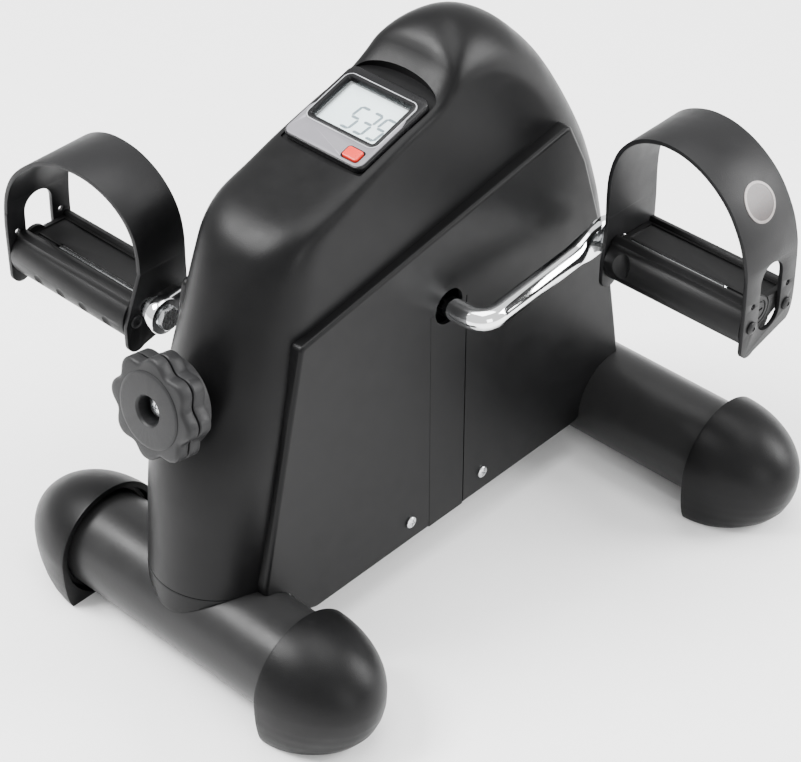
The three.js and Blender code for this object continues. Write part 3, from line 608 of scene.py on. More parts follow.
def at_height(run, z):
    """The point at height z on a run of the side view that rises all the way."""
    return np.array([np.interp(z, run[:, 1], run[:, c]) for c in range(4)])


def housing_solid(name, inset=0.0, columns=26, wall_steps=8, base=BASE_Z):
    """A closed solid: for each point of the side view, a rounded edge and then the flat wall to a spine."""
    curve = side_curve()
    tangent = np.gradient(curve[:, :2], axis=0)
    tangent /= np.linalg.norm(tangent, axis=1)[:, None]
    inward = np.stack([tangent[:, 1], -tangent[:, 0]], axis=1)
    curve = curve.copy()
    curve[:, :2] += inward * inset
    top = int(np.argmax(curve[:, 1]))
    levels = [base, *np.linspace(24, SPINE_Z, 30)]
    front = [at_height(curve[:top], z) for z in levels]
    rear = [at_height(curve[top:][::-1], z) for z in levels]
    first = int(np.searchsorted(curve[:top, 1], SPINE_Z))
    last = top + int(np.searchsorted(-curve[top:, 1], -SPINE_Z))
    between = [curve[int(i)] for i in np.linspace(first, last, 92)[1:-1]]
    stations = [*zip(front, levels), *((p, SPINE_Z) for p in between), *zip(rear[::-1], levels[::-1])]
    rows = []
    for (y, z, depth, square), spine_z in stations:
        heading = np.array([SPINE_Y - y, spine_z - z])
        reach = np.linalg.norm(heading)
        heading /= reach
        depth = depth - inset
        row = []
        for j in range(columns + 1):
            phi = math.pi / 2 * j / columns
            d = depth * (1 - max(0.0, math.cos(phi)) ** (2 / square))
            row.append((d, math.sin(phi) ** (2 / square)))
        row += [(depth + (reach - depth) * k / wall_steps, 1.0) for k in range(1, wall_steps + 1)]
        half_row = []
        for d, share in row:
            py, pz = y + heading[0] * d, z + heading[1] * d
            half_row.append(((half_width(pz) - inset) * share, py, pz))
        rows.append([(-x, py, pz) for x, py, pz in half_row[:0:-1]] + half_row)
    n = len(rows[0])
    vertices = [p for row in rows for p in row]
    faces = []
    for r in range(len(rows) - 1):
        for i in range(n - 1):
            faces.append([r * n + i, r * n + i + 1, (r + 1) * n + i + 1, (r + 1) * n + i])
    end = (len(rows) - 1) * n
    faces.append(list(range(n)) + [end + i for i in range(n - 2, 0, -1)])
    return mesh_object(name, vertices, faces, 60)


def side_panel(name, x0, x1, shrink=0.0):
    """The raised panel of one side, with a rounded outline; make_housing softens the outer edge of the panels."""
    s = shrink
    corners = [(-148 + s, 40), (-147 + s, 66), (-114 + s, 212 - s), (100.7 - s, 250 - s), (116 - s, 220),
               (130 - s, 178), (147 - s, 120), (158 - s, 62), (160 - s, 40), (118, 26 - s), (-108, 26 - s)]
    outline = rounded(corners, [20, 30, 4, 5, 30, 60, 80, 40, 12, 12, 12], 5)
    return prism(name, outline, "x", x0, x1)


def tube_space(sign):
    """The room for a foot tube, with a little clearance round it."""
    return rod("tube_space", TUBE_RADIUS + 0.4, "x", -90, 90, sign * TUBE_Y, TUBE_Z, 96)


def counter_space():
    return Matrix.Translation(Vector((0, COUNTER_Y, COUNTER_Z))) @ Matrix.Rotation(COUNTER_SLOPE, 4, "X")


COUNTER_HALF_X = 28.6
COUNTER_HALF_Y = 28.95
SLOT_HALF = 15.0
HOLE_RADIUS = 11.0
SCREW_Y = 31.0
SCREW_Z = 41.0


def counter_recess():
    """A shallow well in the top of the housing, bowed out in front of the counter and behind it."""
    x, y = COUNTER_HALF_X + 0.7, COUNTER_HALF_Y + 0.5
    behind = [(x * math.cos(t), y + 10.5 * math.sin(t)) for t in np.linspace(0, math.pi, 25)]
    ahead = [(x * math.cos(t), -y + 3.2 * math.sin(t)) for t in np.linspace(math.pi, 2 * math.pi, 17)]
    well = prism("counter_well", behind + ahead, "z", -2.0, 60)
    return place(well, counter_space())


def counter_cup():
    """The wall and floor under the well, filled in where the shell is hollow."""
    outline = rounded([(-31.6, -34.5), (31.6, -34.5), (31.6, 42.5), (-31.6, 42.5)], [6] * 4)
    cup = place(prism("cup", outline, "z", -4.5, 45), counter_space())
    return common(cup, housing_solid("around_cup", 0.4))


def make_housing():
    shell = housing_solid("housing_shell_skin")
    for hand in (1, -1):
        x0, x1 = sorted((hand * 30, hand * PANEL_X))
        panel = bevel(side_panel("panel", x0, x1), 2.4, 4, 60)
        shell = join(shell, panel)
    hollow = housing_solid("hollow", WALL, 10, 3, BASE_Z - 6)
    side_hollow = side_panel("side_hollow", -PANEL_X + WALL, PANEL_X - WALL, WALL)
    hollow = join(hollow, side_hollow, block("mouth", -PANEL_X + WALL, PANEL_X - WALL, -105, 115, 0, 60))
    shell = join(cut(shell, hollow), counter_cup())
    nose = block("nose", -PAST_X, PAST_X, -PAST_Y, -TUBE_Y, -10, SEAM_Z + SEAM_GAP)
    heel = block("heel", -PAST_X, PAST_X, TUBE_Y, PAST_Y, -10, 40)
    below = block("below", -PAST_X, PAST_X, -PAST_Y, PAST_Y, -10, 26)
    tubes = [tube_space(sign) for sign in (-1, 1)]
    shell = cut(shell, nose, heel, below, *tubes)
    slot = block("slot", -PAST_X, PAST_X, -SLOT_HALF, SLOT_HALF, 0, AXLE_Z)
    hole = rod("hole", HOLE_RADIUS, "x", -PAST_X, PAST_X, 0, AXLE_Z, 64)
    knob_hole = place(rod("knob_hole", 6, "y", -25, 25, 0, 0, 32), knob_space())
    case_hole = place(block("case_hole", -25.6, 25.6, -27.6, 25.6, -16, 1), counter_space())
    shell = cut(shell, slot, hole, knob_hole, counter_recess(), case_hole)
    smooth(shell, 38)
    even_normals(shell)
    piece(shell, "housing", "housing_plastic", "base", "housing_shell")


def knob_space():
    return Matrix.Translation(Vector(KNOB_SEAT)) @ Matrix.Rotation(KNOB_TILT, 4, "X")


def make_skirt():
    skirt = housing_solid("front_skirt_skin")
    keep = block("keep", -PAST_X, PAST_X, -PAST_Y, -TUBE_Y - 1, TUBE_Z + 3, SEAM_Z)
    skirt = cut(common(skirt, keep), tube_space(-1))
    piece(bevel(skirt, 0.6, 2, 40), "housing", "housing_plastic", "base", "front_skirt")


def slot_cover():
    """The strip that fills one slot, with a low tongue under its two screws and a round notch for the crank."""
    inner = PANEL_X - WALL
    half = SLOT_HALF - 0.35
    base = 26.2
    strip = block("strip", inner, PANEL_X - 0.1, -half, half, base, AXLE_Z - 0.2)
    strip = cut(strip, rod("hole", HOLE_RADIUS, "x", 20, PAST_X, 0, AXLE_Z, 64))
    strip = bevel(strip, 0.45, 2, 40)
    reach, low, high = SCREW_Y + 7, SCREW_Z - 8, SCREW_Z + 8
    outline = rounded([(-reach, low), (reach, low), (reach, high), (-reach, high)], [4] * 4)
    tab = prism("tab", outline, "x", inner - 2.6, inner - 0.2)
    back = block("back", inner - 2.6, inner + 0.6, -half, half, base, high)
    return join(strip, tab, back)


def cross_recess_screw(name, radius, head, shank_radius, shank):
    """A pan-head screw along +Z with its seat on z = 0 and a cross recess."""
    turns = np.linspace(0, math.pi / 2, 10)
    dome = [(radius * math.sin(t), head * (0.45 + 0.55 * math.cos(t))) for t in turns]
    profile = dome + [(radius, 0.12), (radius - 0.25, 0), (shank_radius, 0)]
    for i in range(int(shank / 0.8)):
        z = -0.4 - 0.8 * i
        profile += [(shank_radius, z), (shank_radius - 0.25, z - 0.4)]
    profile += [(0, -shank)]
    screw = turned(name, profile, "z", 0, 0, 40, 30)
    deep = head * 0.45
    wide = radius * 0.6
    slots = [block("slot", -u, u, -v, v, deep, head + 1) for u, v in ((wide, 0.42), (0.42, wide))]
    return cut(screw, *slots)


def make_covers():
    for side, hand in SIDES:
        cover = mirrored(slot_cover(), hand, f"slot_cover_{side}_skin")
        smooth(cover, 40)
        even_normals(cover)
        piece(cover, "housing", "housing_plastic", "base", f"slot_cover_{side}")
        for where, y in (("front", -SCREW_Y), ("rear", SCREW_Y)):
            screw = cross_recess_screw(f"panel_screw_{side}_{where}", 3.7, 1.9, 1.5, 7)
            turn = Matrix.Rotation(hand * math.pi / 2, 4, "Y") @ Matrix.Rotation(0.4 + y * 0.02, 4, "Z")
            place(screw, Matrix.Translation(Vector((hand * (PANEL_X + 0.15), y, SCREW_Z))) @ turn)
            piece(screw, "zinc", "zinc", "base", f"cover_screw_{side}_{where}")


# ---- foot tubes and caps
TUBE_WALL = 2.0


def make_feet():
    for end, sign in (("front", -1), ("rear", 1)):
        low, high = box_mm(f"{end}_tube")
        reach = high[0]
        y = (low[1] + high[1]) / 2
        bore = TUBE_RADIUS - TUBE_WALL
        profile = [(TUBE_RADIUS, -reach + 0.5), (TUBE_RADIUS, reach - 0.5), (TUBE_RADIUS - 0.5, reach),
                   (bore, reach), (bore, -reach), (TUBE_RADIUS - 0.5, -reach)]
        tube = turned(f"{end}_tube_skin", profile, "x", y, TUBE_Z, 128, 30)
        piece(tube, "tube", "tube_paint", "base", f"{end}_tube")
        for side, hand in SIDES:
            cap = mirrored(foot_cap(f"{end}_cap_right", y), hand, f"{end}_cap_{side}_skin")
            smooth(cap, 40)
            piece(cap, "cap", "cap_plastic", "base", f"{end}_cap_{side}")


# Height of each level of a cap's lower half with its length and width, as shares of the full ones.
CAP_LEVELS = [(0.0, 0.655, 0.865), (0.5, 0.69, 0.882), (2, 0.745, 0.90), (5, 0.82, 0.93), (10, 0.895, 0.96),
              (17, 0.955, 0.985), (24, 0.99, 0.997)]


def foot_cap(node, y):
    """A dome that rolls in to a flat foot, hollow where the tube goes in."""
    low, high = box_mm(node)
    x0, length = low[0], high[0] - low[0]
    radius = (high[1] - low[1]) / 2
    levels = list(CAP_LEVELS)
    for turn in np.linspace(0, 88, 34):
        t = math.radians(turn)
        levels.append((TUBE_Z + radius * math.sin(t), math.cos(t), math.cos(t)))
    heights = np.array(levels)
    fine = sorted({*np.linspace(0, 1, 7) * 1.5, *np.linspace(1.5, 24, 14), *heights[len(CAP_LEVELS):, 0]})
    rings = []
    for z in fine:
        along_share = np.interp(z, heights[:, 0], heights[:, 1])
        across_share = np.interp(z, heights[:, 0], heights[:, 2])
        ring = [(x0 + length * along_share * math.cos(t), y + radius * across_share * math.sin(t), z)
                for t in np.linspace(-math.pi / 2, math.pi / 2, 65)]
        rings.append(ring)
    cap = bevel(loft("cap", rings, 50), 0.9, 3, 60)
    mouth = turned("mouth", [(0, -1), (34.4, -1), (33.6, 0.8), (33.2, 4.4), (32.6, 5), (TUBE_RADIUS + 0.3, 5),
                             (TUBE_RADIUS + 0.3, 29.6), (0, 29.6)], "x", y, TUBE_Z, 96)
    mouth = place(mouth, Matrix.Translation(Vector((x0, 0, 0))))
    return cut(cap, mouth)


# ---- crank, bolts and nuts
ROD_RADIUS = 6.5
ROD_POINTS = 40
BEND_X = 71.5
ARM_X = 63.5
BEND_RADIUS = 14.0
EYE_RADIUS = 11.0
EYE_HALF = 3.5
BOLT_RADIUS = 5.0


def crank_arm_rings(hand):
    """Round rod from the middle of the axle, round the bend and down the arm, flattened towards the eye."""
    corner = np.array([hand * BEND_X, 0.0])
    eye = np.array([hand * ARM_X, hand * CRANK_LENGTH])
    arm = (eye - corner) / np.linalg.norm(eye - corner)
    start = corner - np.array([hand * BEND_RADIUS, 0.0])
    end = corner + arm * BEND_RADIUS
    path = [np.array([hand * x, 0.0]) for x in np.linspace(0, BEND_X - BEND_RADIUS, 12)[:-1]]
    for t in np.linspace(0, 1, 15):
        path.append((1 - t) ** 2 * start + 2 * t * (1 - t) * corner + t * t * end)
    length = np.linalg.norm(eye - end)
    path += [end + arm * d for d in np.linspace(0, length - 3, 40)[1:]]
    path = np.array(path)
    heading = np.gradient(path, axis=0)
    heading /= np.linalg.norm(heading, axis=1)[:, None]
    rings = []
    for point, forward in zip(path, heading):
        to_eye = np.linalg.norm(point - eye)
        flat = float(np.clip((32 - to_eye) / 20, 0, 1))
        flat = flat * flat * (3 - 2 * flat)
        half_across = ROD_RADIUS + (EYE_HALF - ROD_RADIUS) * flat
        half_up = ROD_RADIUS + (EYE_RADIUS - 0.8 - ROD_RADIUS) * flat
        square = 2 + 1.6 * flat
        side = np.array([-forward[1], forward[0]])
        ring = []
        for t in np.linspace(0, 2 * math.pi, ROD_POINTS + 1)[:-1]:
            c, d = math.cos(t), math.sin(t)
            across = half_across * math.copysign(abs(c) ** (2 / square), c)
            up = half_up * math.copysign(abs(d) ** (2 / square), d)
            ring.append((point[0] + side[0] * across, point[1] + side[1] * across, AXLE_Z + up))
        rings.append(ring)
    return rings


def make_crank():
    right, left = crank_arm_rings(1), crank_arm_rings(-1)
    half = ROD_POINTS // 2
    turned_left = [[ring[(half - i) % ROD_POINTS] for i in range(ROD_POINTS)] for ring in left[:0:-1]]
    crank = loft("crankshaft_skin", turned_left + right, 60)
    for hand in (1, -1):
        x = hand * (ARM_X + 0.5)
        y = hand * CRANK_LENGTH
        r, x0, x1 = EYE_RADIUS, x - EYE_HALF, x + EYE_HALF
        profile = [(0, x0), (r - 1.2, x0), (r - 0.35, x0 + 0.35), (r, x0 + 1.2), (r, x1 - 1.2),
                   (r - 0.35, x1 - 0.35), (r - 1.2, x1), (0, x1)]
        crank = join(crank, turned("eye", profile, "x", y, AXLE_Z, 72))
        crank = cut(crank, rod("bore", BOLT_RADIUS + 0.15, "x", x - 12, x + 12, y, AXLE_Z, 48))
    smooth(crank, 40)
    piece(crank, "chrome", "chrome", "crank", "crankshaft")
    for side, hand in SIDES:
        for node, drawn in (("pedal_bolt", pedal_bolt()), ("pedal_nut", pedal_nut())):
            piece(on_side(drawn, hand, f"{node}_{side}_skin"), "zinc", "zinc", "crank", f"{node}_{side}")


def on_side(obj, hand, name):
    """Puts a piece drawn for the right pedal, about its axle, in its place on either side."""
    return place(mirrored(obj, hand, name), Matrix.Translation(Vector((0, hand * CRANK_LENGTH, AXLE_Z))))


def hexagon(name, radius, x0, x1, chamfer=0.9):
    """A hexagonal head along X with its corners turned off."""
    sides = prism(name, arc(0, 0, radius, 0, 300, 5), "x", x0, x1)
    flat, corner = radius * math.cos(math.pi / 6), radius + 0.02
    cone = turned("cone", [(0, x0), (flat, x0), (corner, x0 + chamfer), (corner, x1 - chamfer), (flat, x1),
                           (0, x1)], "x", 0, 0, 60)
    return common(sides, cone)


def pedal_bolt():
    head = hexagon("head", 7.5, ARM_X - 6.4, ARM_X - 3.15)
    start, end = ARM_X - 5, 150
    shaft = turned("shaft", [(0, start), (BOLT_RADIUS, start), (BOLT_RADIUS, end - 1),
                             (BOLT_RADIUS - 1, end), (0, end)], "x", 0, 0, 48)
    return join(head, shaft)


def pedal_nut():
    nut = hexagon("nut", 8, ARM_X + 4.15, ARM_X + 9)
    return cut(nut, rod("bore", BOLT_RADIUS + 0.15, "x", 50, 90, 0, 0, 40))


# ---- tension knob
KNOB_RADIUS = 30.5
KNOB_LOBES = 8
KNOB_LOBE_DEPTH = 4.2
THREAD_PITCH = 1.25


def lobed_ring(y, share):
    ring = []
    for t in np.linspace(0, 2 * math.pi, 193)[:-1]:
        valley = (0.5 - 0.5 * math.cos(KNOB_LOBES * t)) ** 1.25
        r = (KNOB_RADIUS - KNOB_LOBE_DEPTH * valley) * share
        ring.append((r * math.cos(t), y, r * math.sin(t)))
    return ring


def make_knob():
    steps = [(-13, 0.95), (-13.4, 0.985), (-14.2, 1.0), (-20.4, 1.0), (-21.0, 0.985), (-21.3, 0.92),
             (-21.9, 0.92), (-22.2, 0.985), (-22.8, 1.0), (-27.6, 0.995), (-28.5, 0.975), (-29.1, 0.94),
             (-29.35, 0.90)]
    grip = loft("tension_knob_skin", [lobed_ring(y, share) for y, share in steps], 30)
    face = turned("face", [(0, -28.0), (22.2, -28.0), (22.0, -29.6), (21.4, -30.0), (20, -30.2),
                           (0, -30.5)], "y", 0, 0, 96)
    collar = turned("collar", [(0, -14), (25.5, -14), (25.5, -9), (24.5, -8), (11.6, -8), (11, -7.4),
                               (11, -4.4), (10.6, -4), (0, -4)], "y", 0, 0, 96)
    hole = turned("hole", [(0, -32), (9.6, -32), (9.3, -30.4), (8.4, -29.7), (8, -28.8), (8, -21.5),
                           (5, -21.5), (5, 2), (0, 2)], "y", 0, 0, 64)
    knob = cut(join(grip, face, collar), hole)
    place(knob, knob_space())
    smooth(knob, 33)
    piece(knob, "knob", "knob_plastic", "knob", "tension_knob")
    screw = cross_recess_screw("knob_screw_skin", 5.5, 3.0, 3.6, 0.9)
    seat = Matrix.Translation(Vector((0, -21.7, 0))) @ Matrix.Rotation(math.pi / 2, 4, "X")
    place(screw, knob_space() @ seat)
    piece(screw, "zinc", "zinc", "knob", "knob_screw")
    profile = [(0, -20.7), (3.9, -20.7), (3.9, -14)]
    for i in range(60):
        profile += [(3.45, -13.4 + THREAD_PITCH * i), (3.95, -12.8 + THREAD_PITCH * i)]
    profile += [(3.2, 62), (0, 62)]
    thread = place(turned("tension_screw_skin", profile, "y", 0, 0, 40, 20), knob_space())
    piece(thread, "zinc", "zinc", "knob", "tension_screw")


# ---- counter
WINDOW = (-22.0, 22.0, -10.5, 19.5)
BUTTON = (18.0, -22.0, 5.2, 3.6)
BEZEL_TOP = 2.3
SEGMENTS = {"5": "afgcd", "3": "abgcd"}


def frame_outline(grow, corner):
    x0, x1, y0, y1 = WINDOW
    corners = [(x0 - grow, y0 - grow), (x1 + grow, y0 - grow), (x1 + grow, y1 + grow), (x0 - grow, y1 + grow)]
    return rounded(corners, [corner] * 4, 8)


def in_counter(obj, look, slot, body, *nodes):
    place(obj, counter_space())
    return piece(obj, look, slot, body, *nodes)


def make_counter():
    hx, hy = COUNTER_HALF_X, COUNTER_HALF_Y
    bx, by, bw, bh = BUTTON
    bezel = rounded_block("counter_bezel_skin", -hx, hx, -hy, hy, -1.5, BEZEL_TOP, 5, 0.7, 3)
    window = block("window", *WINDOW, -5, 5)
    keyhole = rounded_block("keyhole", bx - bw - 0.4, bx + bw + 0.4, by - bh - 0.4, by + bh + 0.4, -5, 5, 1.6)
    bezel = cut(bezel, window, keyhole)
    surround = prism("surround", frame_outline(3.4, 4.4), "z", BEZEL_TOP - 0.5, BEZEL_TOP + 1.1)
    surround = bevel(surround, 0.5, 3, 50)
    opening = loft("opening", [[(u, v, z) for u, v in frame_outline(g, c)]
                               for z, g, c in ((-3, 0.0, 0.6), (1.4, 0.0, 0.6), (BEZEL_TOP + 1.2, 1.3, 1.6))])
    bezel = cut(join(bezel, surround), opening)
    smooth(bezel, 40)
    in_counter(bezel, "bezel", "bezel_plastic", "base", "counter_bezel")
    plate = rounded([(-hx + 0.9, -hy + 0.9), (hx - 0.9, -hy + 0.9), (hx - 0.9, 6), (hx - 2.6, 12), (21, -11),
                     (-21, -11), (-hx + 2.2, -4), (-hx + 0.9, -7)], [4.2, 4.2, 3, 0.3, 0.5, 0.5, 0.3, 1], 6)
    plate = prism("faceplate", plate, "z", BEZEL_TOP - 0.1, BEZEL_TOP + 0.45)
    around = prism("around", frame_outline(4.1, 5.0), "z", 0, 6)
    x, y = bw + 1.1, bh + 1.0
    around_button = rounded_block("around_button", bx - x, bx + x, by - y, by + y, 0, 6, 2.2)
    plate = cut(plate, around, around_button)
    in_counter(bevel(plate, 0.18, 2, 50), "faceplate", "bezel_plastic", "base")
    rim = prism("display_rim", frame_outline(3.95, 4.9), "z", BEZEL_TOP - 0.1, BEZEL_TOP + 0.62)
    rim = cut(rim, prism("within", frame_outline(3.3, 4.3), "z", 0, 6))
    in_counter(rim, "bezel_rim", "bezel_plastic", "base")
    glass = rounded_block("counter_window_skin", -21.7, 21.7, -10.2, 19.2, 0.1, 1.3, 0.5, 0.2, 2)
    in_counter(glass, "window", "window", "base", "counter_window")
    film = rounded_block("counter_display_skin", -23.4, 23.4, -12, 21, -2.6, -1.0, 0.8, 0.1, 1)
    in_counter(film, "film", "lcd", "base", "counter_display")
    for i, digit in enumerate("535"):
        in_counter(display_digit(digit, -7.2 + 9.2 * i, -8.0), "segment", "lcd", "base")
    button = rounded_block("mode_button_skin", bx - bw, bx + bw, by - bh, by + bh, -1.2, 3.9, 1.4, 0.7, 4)
    in_counter(button, "red", "button_red", "button", "mode_button")


def display_digit(digit, x, y):
    """A seven-segment digit 7.4 wide and 18 tall, leaning a little, lying on the film."""
    wide, tall, thick, lean, gap = 7.4, 18.0, 1.7, 0.12, 0.9
    half, tip = tall / 2, thick / 2
    right, lower, upper = (wide - thick, wide), (gap, half - 0.5), (half + 0.5, tall - gap)
    bars = {
        "a": (gap, wide - gap, tall - thick, tall), "g": (gap, wide - gap, half - tip, half + tip),
        "d": (gap, wide - gap, 0, thick), "f": (0, thick, *upper),
        "b": (*right, *upper), "c": (*right, *lower),
    }
    vertices, faces = [], []
    for key in SEGMENTS[digit]:
        u0, u1, v0, v1 = bars[key]
        if u1 - u0 > v1 - v0:
            ring = [(u0, v0 + tip), (u0 + tip, v0), (u1 - tip, v0),
                    (u1, v0 + tip), (u1 - tip, v1), (u0 + tip, v1)]
        else:
            ring = [(u0 + tip, v0), (u1, v0 + tip), (u1, v1 - tip),
                    (u0 + tip, v1), (u0, v1 - tip), (u0, v0 + tip)]
        first = len(vertices)
        for z in (-1.02, -0.9):
            vertices += [(x + u + lean * v, y + v, z) for u, v in ring]
        n = len(ring)
        faces += [[first + i for i in range(n)][::-1], [first + n + i for i in range(n)]]
        faces += band(first, first + n, n)
    return mesh_object("display_digit", vertices, faces)


# ---- pedals
PEDAL_INNER = 75.0
PEDAL_OUTER = 176.0
STRAP_THICK = 2.5
STRAP_FRONT = -17.0
STRAP_REAR = 29.0
STRAP_MIDDLE = 6.0
RIVET_SPREAD = 16.0
RIVET_Z = -5.0
RIVET_HOLE = 2.4
BODY_INNER = PEDAL_INNER + STRAP_THICK + 0.3
BODY_OUTER = PEDAL_OUTER - STRAP_THICK - 0.3
# The pedal's front roll, as (y, z) of its middle and its radius.
ROLL_Y, ROLL_Z, ROLL_RADIUS = -3.0, -6.0, 14.5
# Each pedal's dents in that roll as (x, radius of the ball), with their angle round it, depth and squeeze.
GRIP_DENTS = {
    "right": ([(90, 22)], math.radians(165), 3.4, 0.5),
    "left": ([(92, 16), (112, 14), (131, 14), (150, 14)], math.radians(200), 1.7, 0.55),
}
STRAP_ARCH = {
    "right": [(176, 5), (175.5, 26), (174, 38), (169, 53), (159, 69), (145, 81), (129, 88), (113, 89.5),
              (99, 86), (88, 79), (80, 68), (75.5, 53), (74.5, 38), (75, 20), (75, 5)],
    "left": [(176, 5), (175.5, 20), (173, 37), (166, 52), (154, 64), (141, 71.5), (127, 75), (110, 74),
             (95, 68), (84, 58.5), (77.5, 47), (75, 34), (75, 20), (75, 5)],
}
STRAP_INNER_FRONT = {"right": -14.0, "left": -4.0}
DISC_Y = 6.0
DISC_HEIGHT = 64.0


def smooth_line(points, steps):
    """An even curve through the points, as (place, heading) pairs."""
    points = np.array(points, float)
    padded = np.vstack([points[:1], points, points[-1:]])
    line = []
    for k in range(len(points) - 1):
        p0, p1, p2, p3 = padded[k:k + 4]
        for t in np.linspace(0, 1, steps, endpoint=k == len(points) - 2):
            line.append(0.5 * (2 * p1 + (p2 - p0) * t + (2 * p0 - 5 * p1 + 4 * p2 - p3) * t * t
                               + (3 * p1 - p0 - 3 * p2 + p3) * t**3))
    line = np.array(line)
    heading = np.gradient(line, axis=0)
    return line, heading / np.linalg.norm(heading, axis=1)[:, None]


def pedal_strap(side):
    line, heading = smooth_line(STRAP_ARCH[side], 7)
    inward = np.stack([-heading[:, 1], heading[:, 0]], axis=1)
    outer = [(PEDAL_OUTER, -40.0), *map(tuple, line), (PEDAL_INNER, -40.0)]
    inner = [(PEDAL_OUTER - STRAP_THICK, -40.0), *map(tuple, line + inward * STRAP_THICK),
             (PEDAL_INNER + STRAP_THICK, -40.0)]
    section = [(z, x) for x, z in outer + inner[::-1]]
    strap = prism("strap", section, "y", STRAP_FRONT, STRAP_REAR, 30)
    tip = arc(STRAP_FRONT + 7, -18, 7, 180, 309, 12)
    heel = [(22 + 7 * (1 - (1 - t) ** 2), -17 + 19 * t * t) for t in np.linspace(0, 1, 12)]
    outline = [(STRAP_FRONT - 1, 110), (STRAP_FRONT - 1, 0), (STRAP_FRONT, -12), *tip, *heel,
               (STRAP_REAR + 1, 6), (STRAP_REAR + 1, 110)]
    strap = common(strap, prism("outline", outline, "x", 60, 190))
    inner_front = STRAP_INNER_FRONT[side]
    plan = [(PEDAL_INNER - 5, STRAP_FRONT - 5), (PEDAL_OUTER, STRAP_FRONT - 5), (PEDAL_OUTER, STRAP_FRONT),
            (PEDAL_INNER - 5, inner_front)]
    wedge = prism("wedge", plan, "z", 24, 120)
    notch = prism("notch", [(STRAP_FRONT - 5, -6), (STRAP_FRONT, -6), (inner_front, 24),
                            (STRAP_FRONT - 5, 24)], "x", 60, 80)
    slot = arc(STRAP_MIDDLE, -4, 10, 180, 360, 20) + arc(STRAP_MIDDLE, 20, 10, 0, 180, 20)
    strap = cut(strap, wedge, notch, prism("slot", slot, "x", 130, 190))
    for sign in (-1, 1):
        y = STRAP_MIDDLE + sign * RIVET_SPREAD
        hole = rod("hole", RIVET_HOLE, "x", 60, 190, y, RIVET_Z, 24)
        strap = cut(strap, hole, rod("spare", 1.8, "x", 130, 190, y, 9, 24))
    strap = cut(strap, rod("axle", BOLT_RADIUS + 1, "x", 60, 100, 0, 0, 32))
    return bevel(strap, 0.45, 2, 45, 40)


def pedal_body(side):
    x0, x1 = BODY_INNER, BODY_OUTER
    outline = [(-8, 9), (-11.5, 7.6), *arc(ROLL_Y, ROLL_Z, ROLL_RADIUS, 128, 345, 40), (16, -7.5), (26, -3.5),
               (27.5, -1.5), (27.5, 6.0), (26.6, 6.8), (24.2, 7.0), (23.4, 6.2), (22.6, 4.6), (-2.6, 5.8),
               (-4.0, 7.6), (-5.4, 8.8)]
    body = bevel(prism("body", outline, "x", x0, x1, 30), 0.8, 2, 70, 35)
    groove = prism("groove", [(-1.6, 5.1), (0.2, 5.0), (0.2, 8), (-1.6, 8)], "x", x0 + 6, x1 - 6)
    tray = prism("tray", [(1.2, 4.3), (21.4, 3.3), (21.4, 9), (1.2, 9)], "x", x0 + 3.5, x1 - 3.5)
    body = cut(body, bevel(tray, 0.6, 2, 50), groove)
    dents, angle, depth, squeeze = GRIP_DENTS[side]
    for x, reach in dents:
        away = ROLL_RADIUS + reach - depth
        centre = (x, ROLL_Y + away * math.cos(angle), ROLL_Z + away * math.sin(angle))
        profile = [(reach * math.sin(t), -reach * math.cos(t)) for t in np.linspace(0, math.pi, 25)]
        ball = turned("dent", profile, "x", 0, 0, 48)
        narrow = Matrix.Diagonal((squeeze, 1, 1, 1))
        body = cut(body, place(ball, Matrix.Translation(Vector(centre)) @ narrow))
    body = cut(body, rod("bore", BOLT_RADIUS + 0.2, "x", x0 - 1, 152, 0, 0, 40),
               rod("plug_seat", 9.3, "x", x1 - 3, x1 + 1, 0, 0, 48))
    for sign in (-1, 1):
        y = STRAP_MIDDLE + sign * RIVET_SPREAD
        body = cut(body, rod("seat", RIVET_HOLE, "x", x0 - 1, x1 + 1, y, RIVET_Z, 24))
    return smooth(body, 35)


def strap_rivet(outer, sign):
    face, out = (PEDAL_OUTER, 1) if outer else (PEDAL_INNER, -1)
    y = STRAP_MIDDLE + sign * RIVET_SPREAD
    profile = [(3.8 * math.sin(t), 0.7 + 1.3 * math.cos(t)) for t in np.linspace(0, math.pi / 2, 8)]
    profile += [(3.8, 0.15), (2.1, 0.15), (2.1, -7.4), (1.5, -8), (0, -8)]
    profile = [(radius, face + out * a) for radius, a in profile]
    dimple = rod("dimple", 1.3, "x", *sorted((face + out * 1.5, face + out * 3)), y, RIVET_Z, 20)
    return cut(turned("rivet", profile, "x", y, RIVET_Z, 36), dimple)


def pedal_plug():
    end = BODY_OUTER
    plug = turned("plug", [(0, end - 2.7), (9, end - 2.7), (9, end - 0.5), (8.5, end), (6.6, end),
                           (6.2, end - 0.7), (5.4, end - 0.7), (5.0, end), (0, end)], "x", 0, 0, 64)
    return cut(plug, block("slot", end - 0.9, end + 1, -3.6, 3.6, -0.7, 0.7))


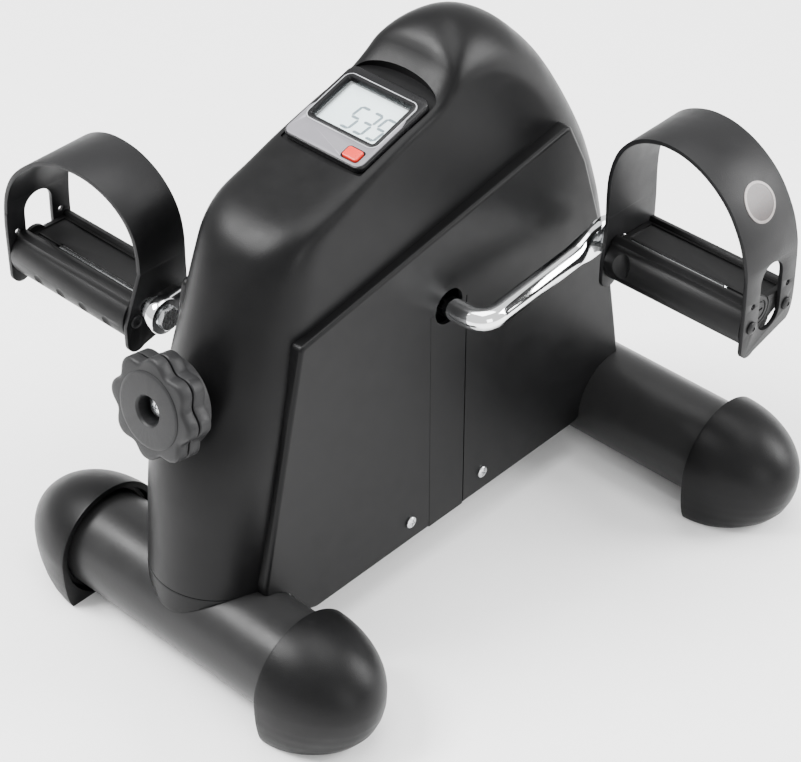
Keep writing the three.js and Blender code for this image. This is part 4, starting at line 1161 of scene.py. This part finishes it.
def make_pedals():
    for side, hand in SIDES:
        body = f"{side}_pedal"
        for node, drawn, look in (("pedal_body", pedal_body(side), "pedal"),
                                  ("pedal_strap", pedal_strap(side), "strap"),
                                  ("pedal_plug", pedal_plug(), "pedal")):
            skin = on_side(drawn, hand, f"{node}_{side}_skin")
            piece(skin, look, f"{look}_plastic", body, f"{node}_{side}")
        for end, outer in (("outer", True), ("inner", False)):
            for where, sign in (("front", -1), ("rear", 1)):
                node = f"strap_rivet_{side}_{end}_{where}"
                rivet = on_side(strap_rivet(outer, sign), hand, f"{node}_skin")
                piece(rivet, "strap", "strap_plastic", body, node)
    for name, look, radius, inner, lift in (("strap_disc", "disc", 10.4, 0.0, 0.3),
                                            ("strap_disc_rim", "disc_rim", 11.7, 10.2, 0.45)):
        disc = strap_disc(name, radius, inner, lift)
        piece(on_side(disc, 1, name), look, "strap_plastic", "right_pedal")


def strap_disc(name, radius, inner, lift):
    """A thin round plate bent over the outer side of the right strap's arch."""
    line, heading = smooth_line(STRAP_ARCH["right"], 7)
    lengths = np.concatenate([[0], np.cumsum(np.linalg.norm(np.diff(line, axis=0), axis=1))])
    rising = slice(0, 40)
    centre = np.interp(DISC_HEIGHT, line[rising, 1], lengths[rising])
    rows = np.linspace(inner, radius, 8)
    count = 64
    vertices, faces = [], []
    for level in (-0.2, lift):
        for r in rows:
            for i in range(count):
                t = 2 * math.pi * i / count
                s = centre + r * math.sin(t)
                point = np.array([np.interp(s, lengths, line[:, k]) for k in (0, 1)])
                way = np.array([np.interp(s, lengths, heading[:, k]) for k in (0, 1)])
                point += np.array([way[1], -way[0]]) * level
                vertices.append((point[0], DISC_Y + r * math.cos(t), point[1]))
    layer = len(rows) * count
    for k in range(len(rows) - 1):
        for low in band(k * count, (k + 1) * count, count):
            faces += [low, [layer + v for v in low[::-1]]]
    for k in (0, len(rows) - 1):
        faces += band(layer + k * count, k * count, count)
    return mesh_object(name, vertices, faces, 50)


make_housing()
make_skirt()
make_covers()
make_feet()
make_crank()
make_knob()
make_counter()
make_pedals()
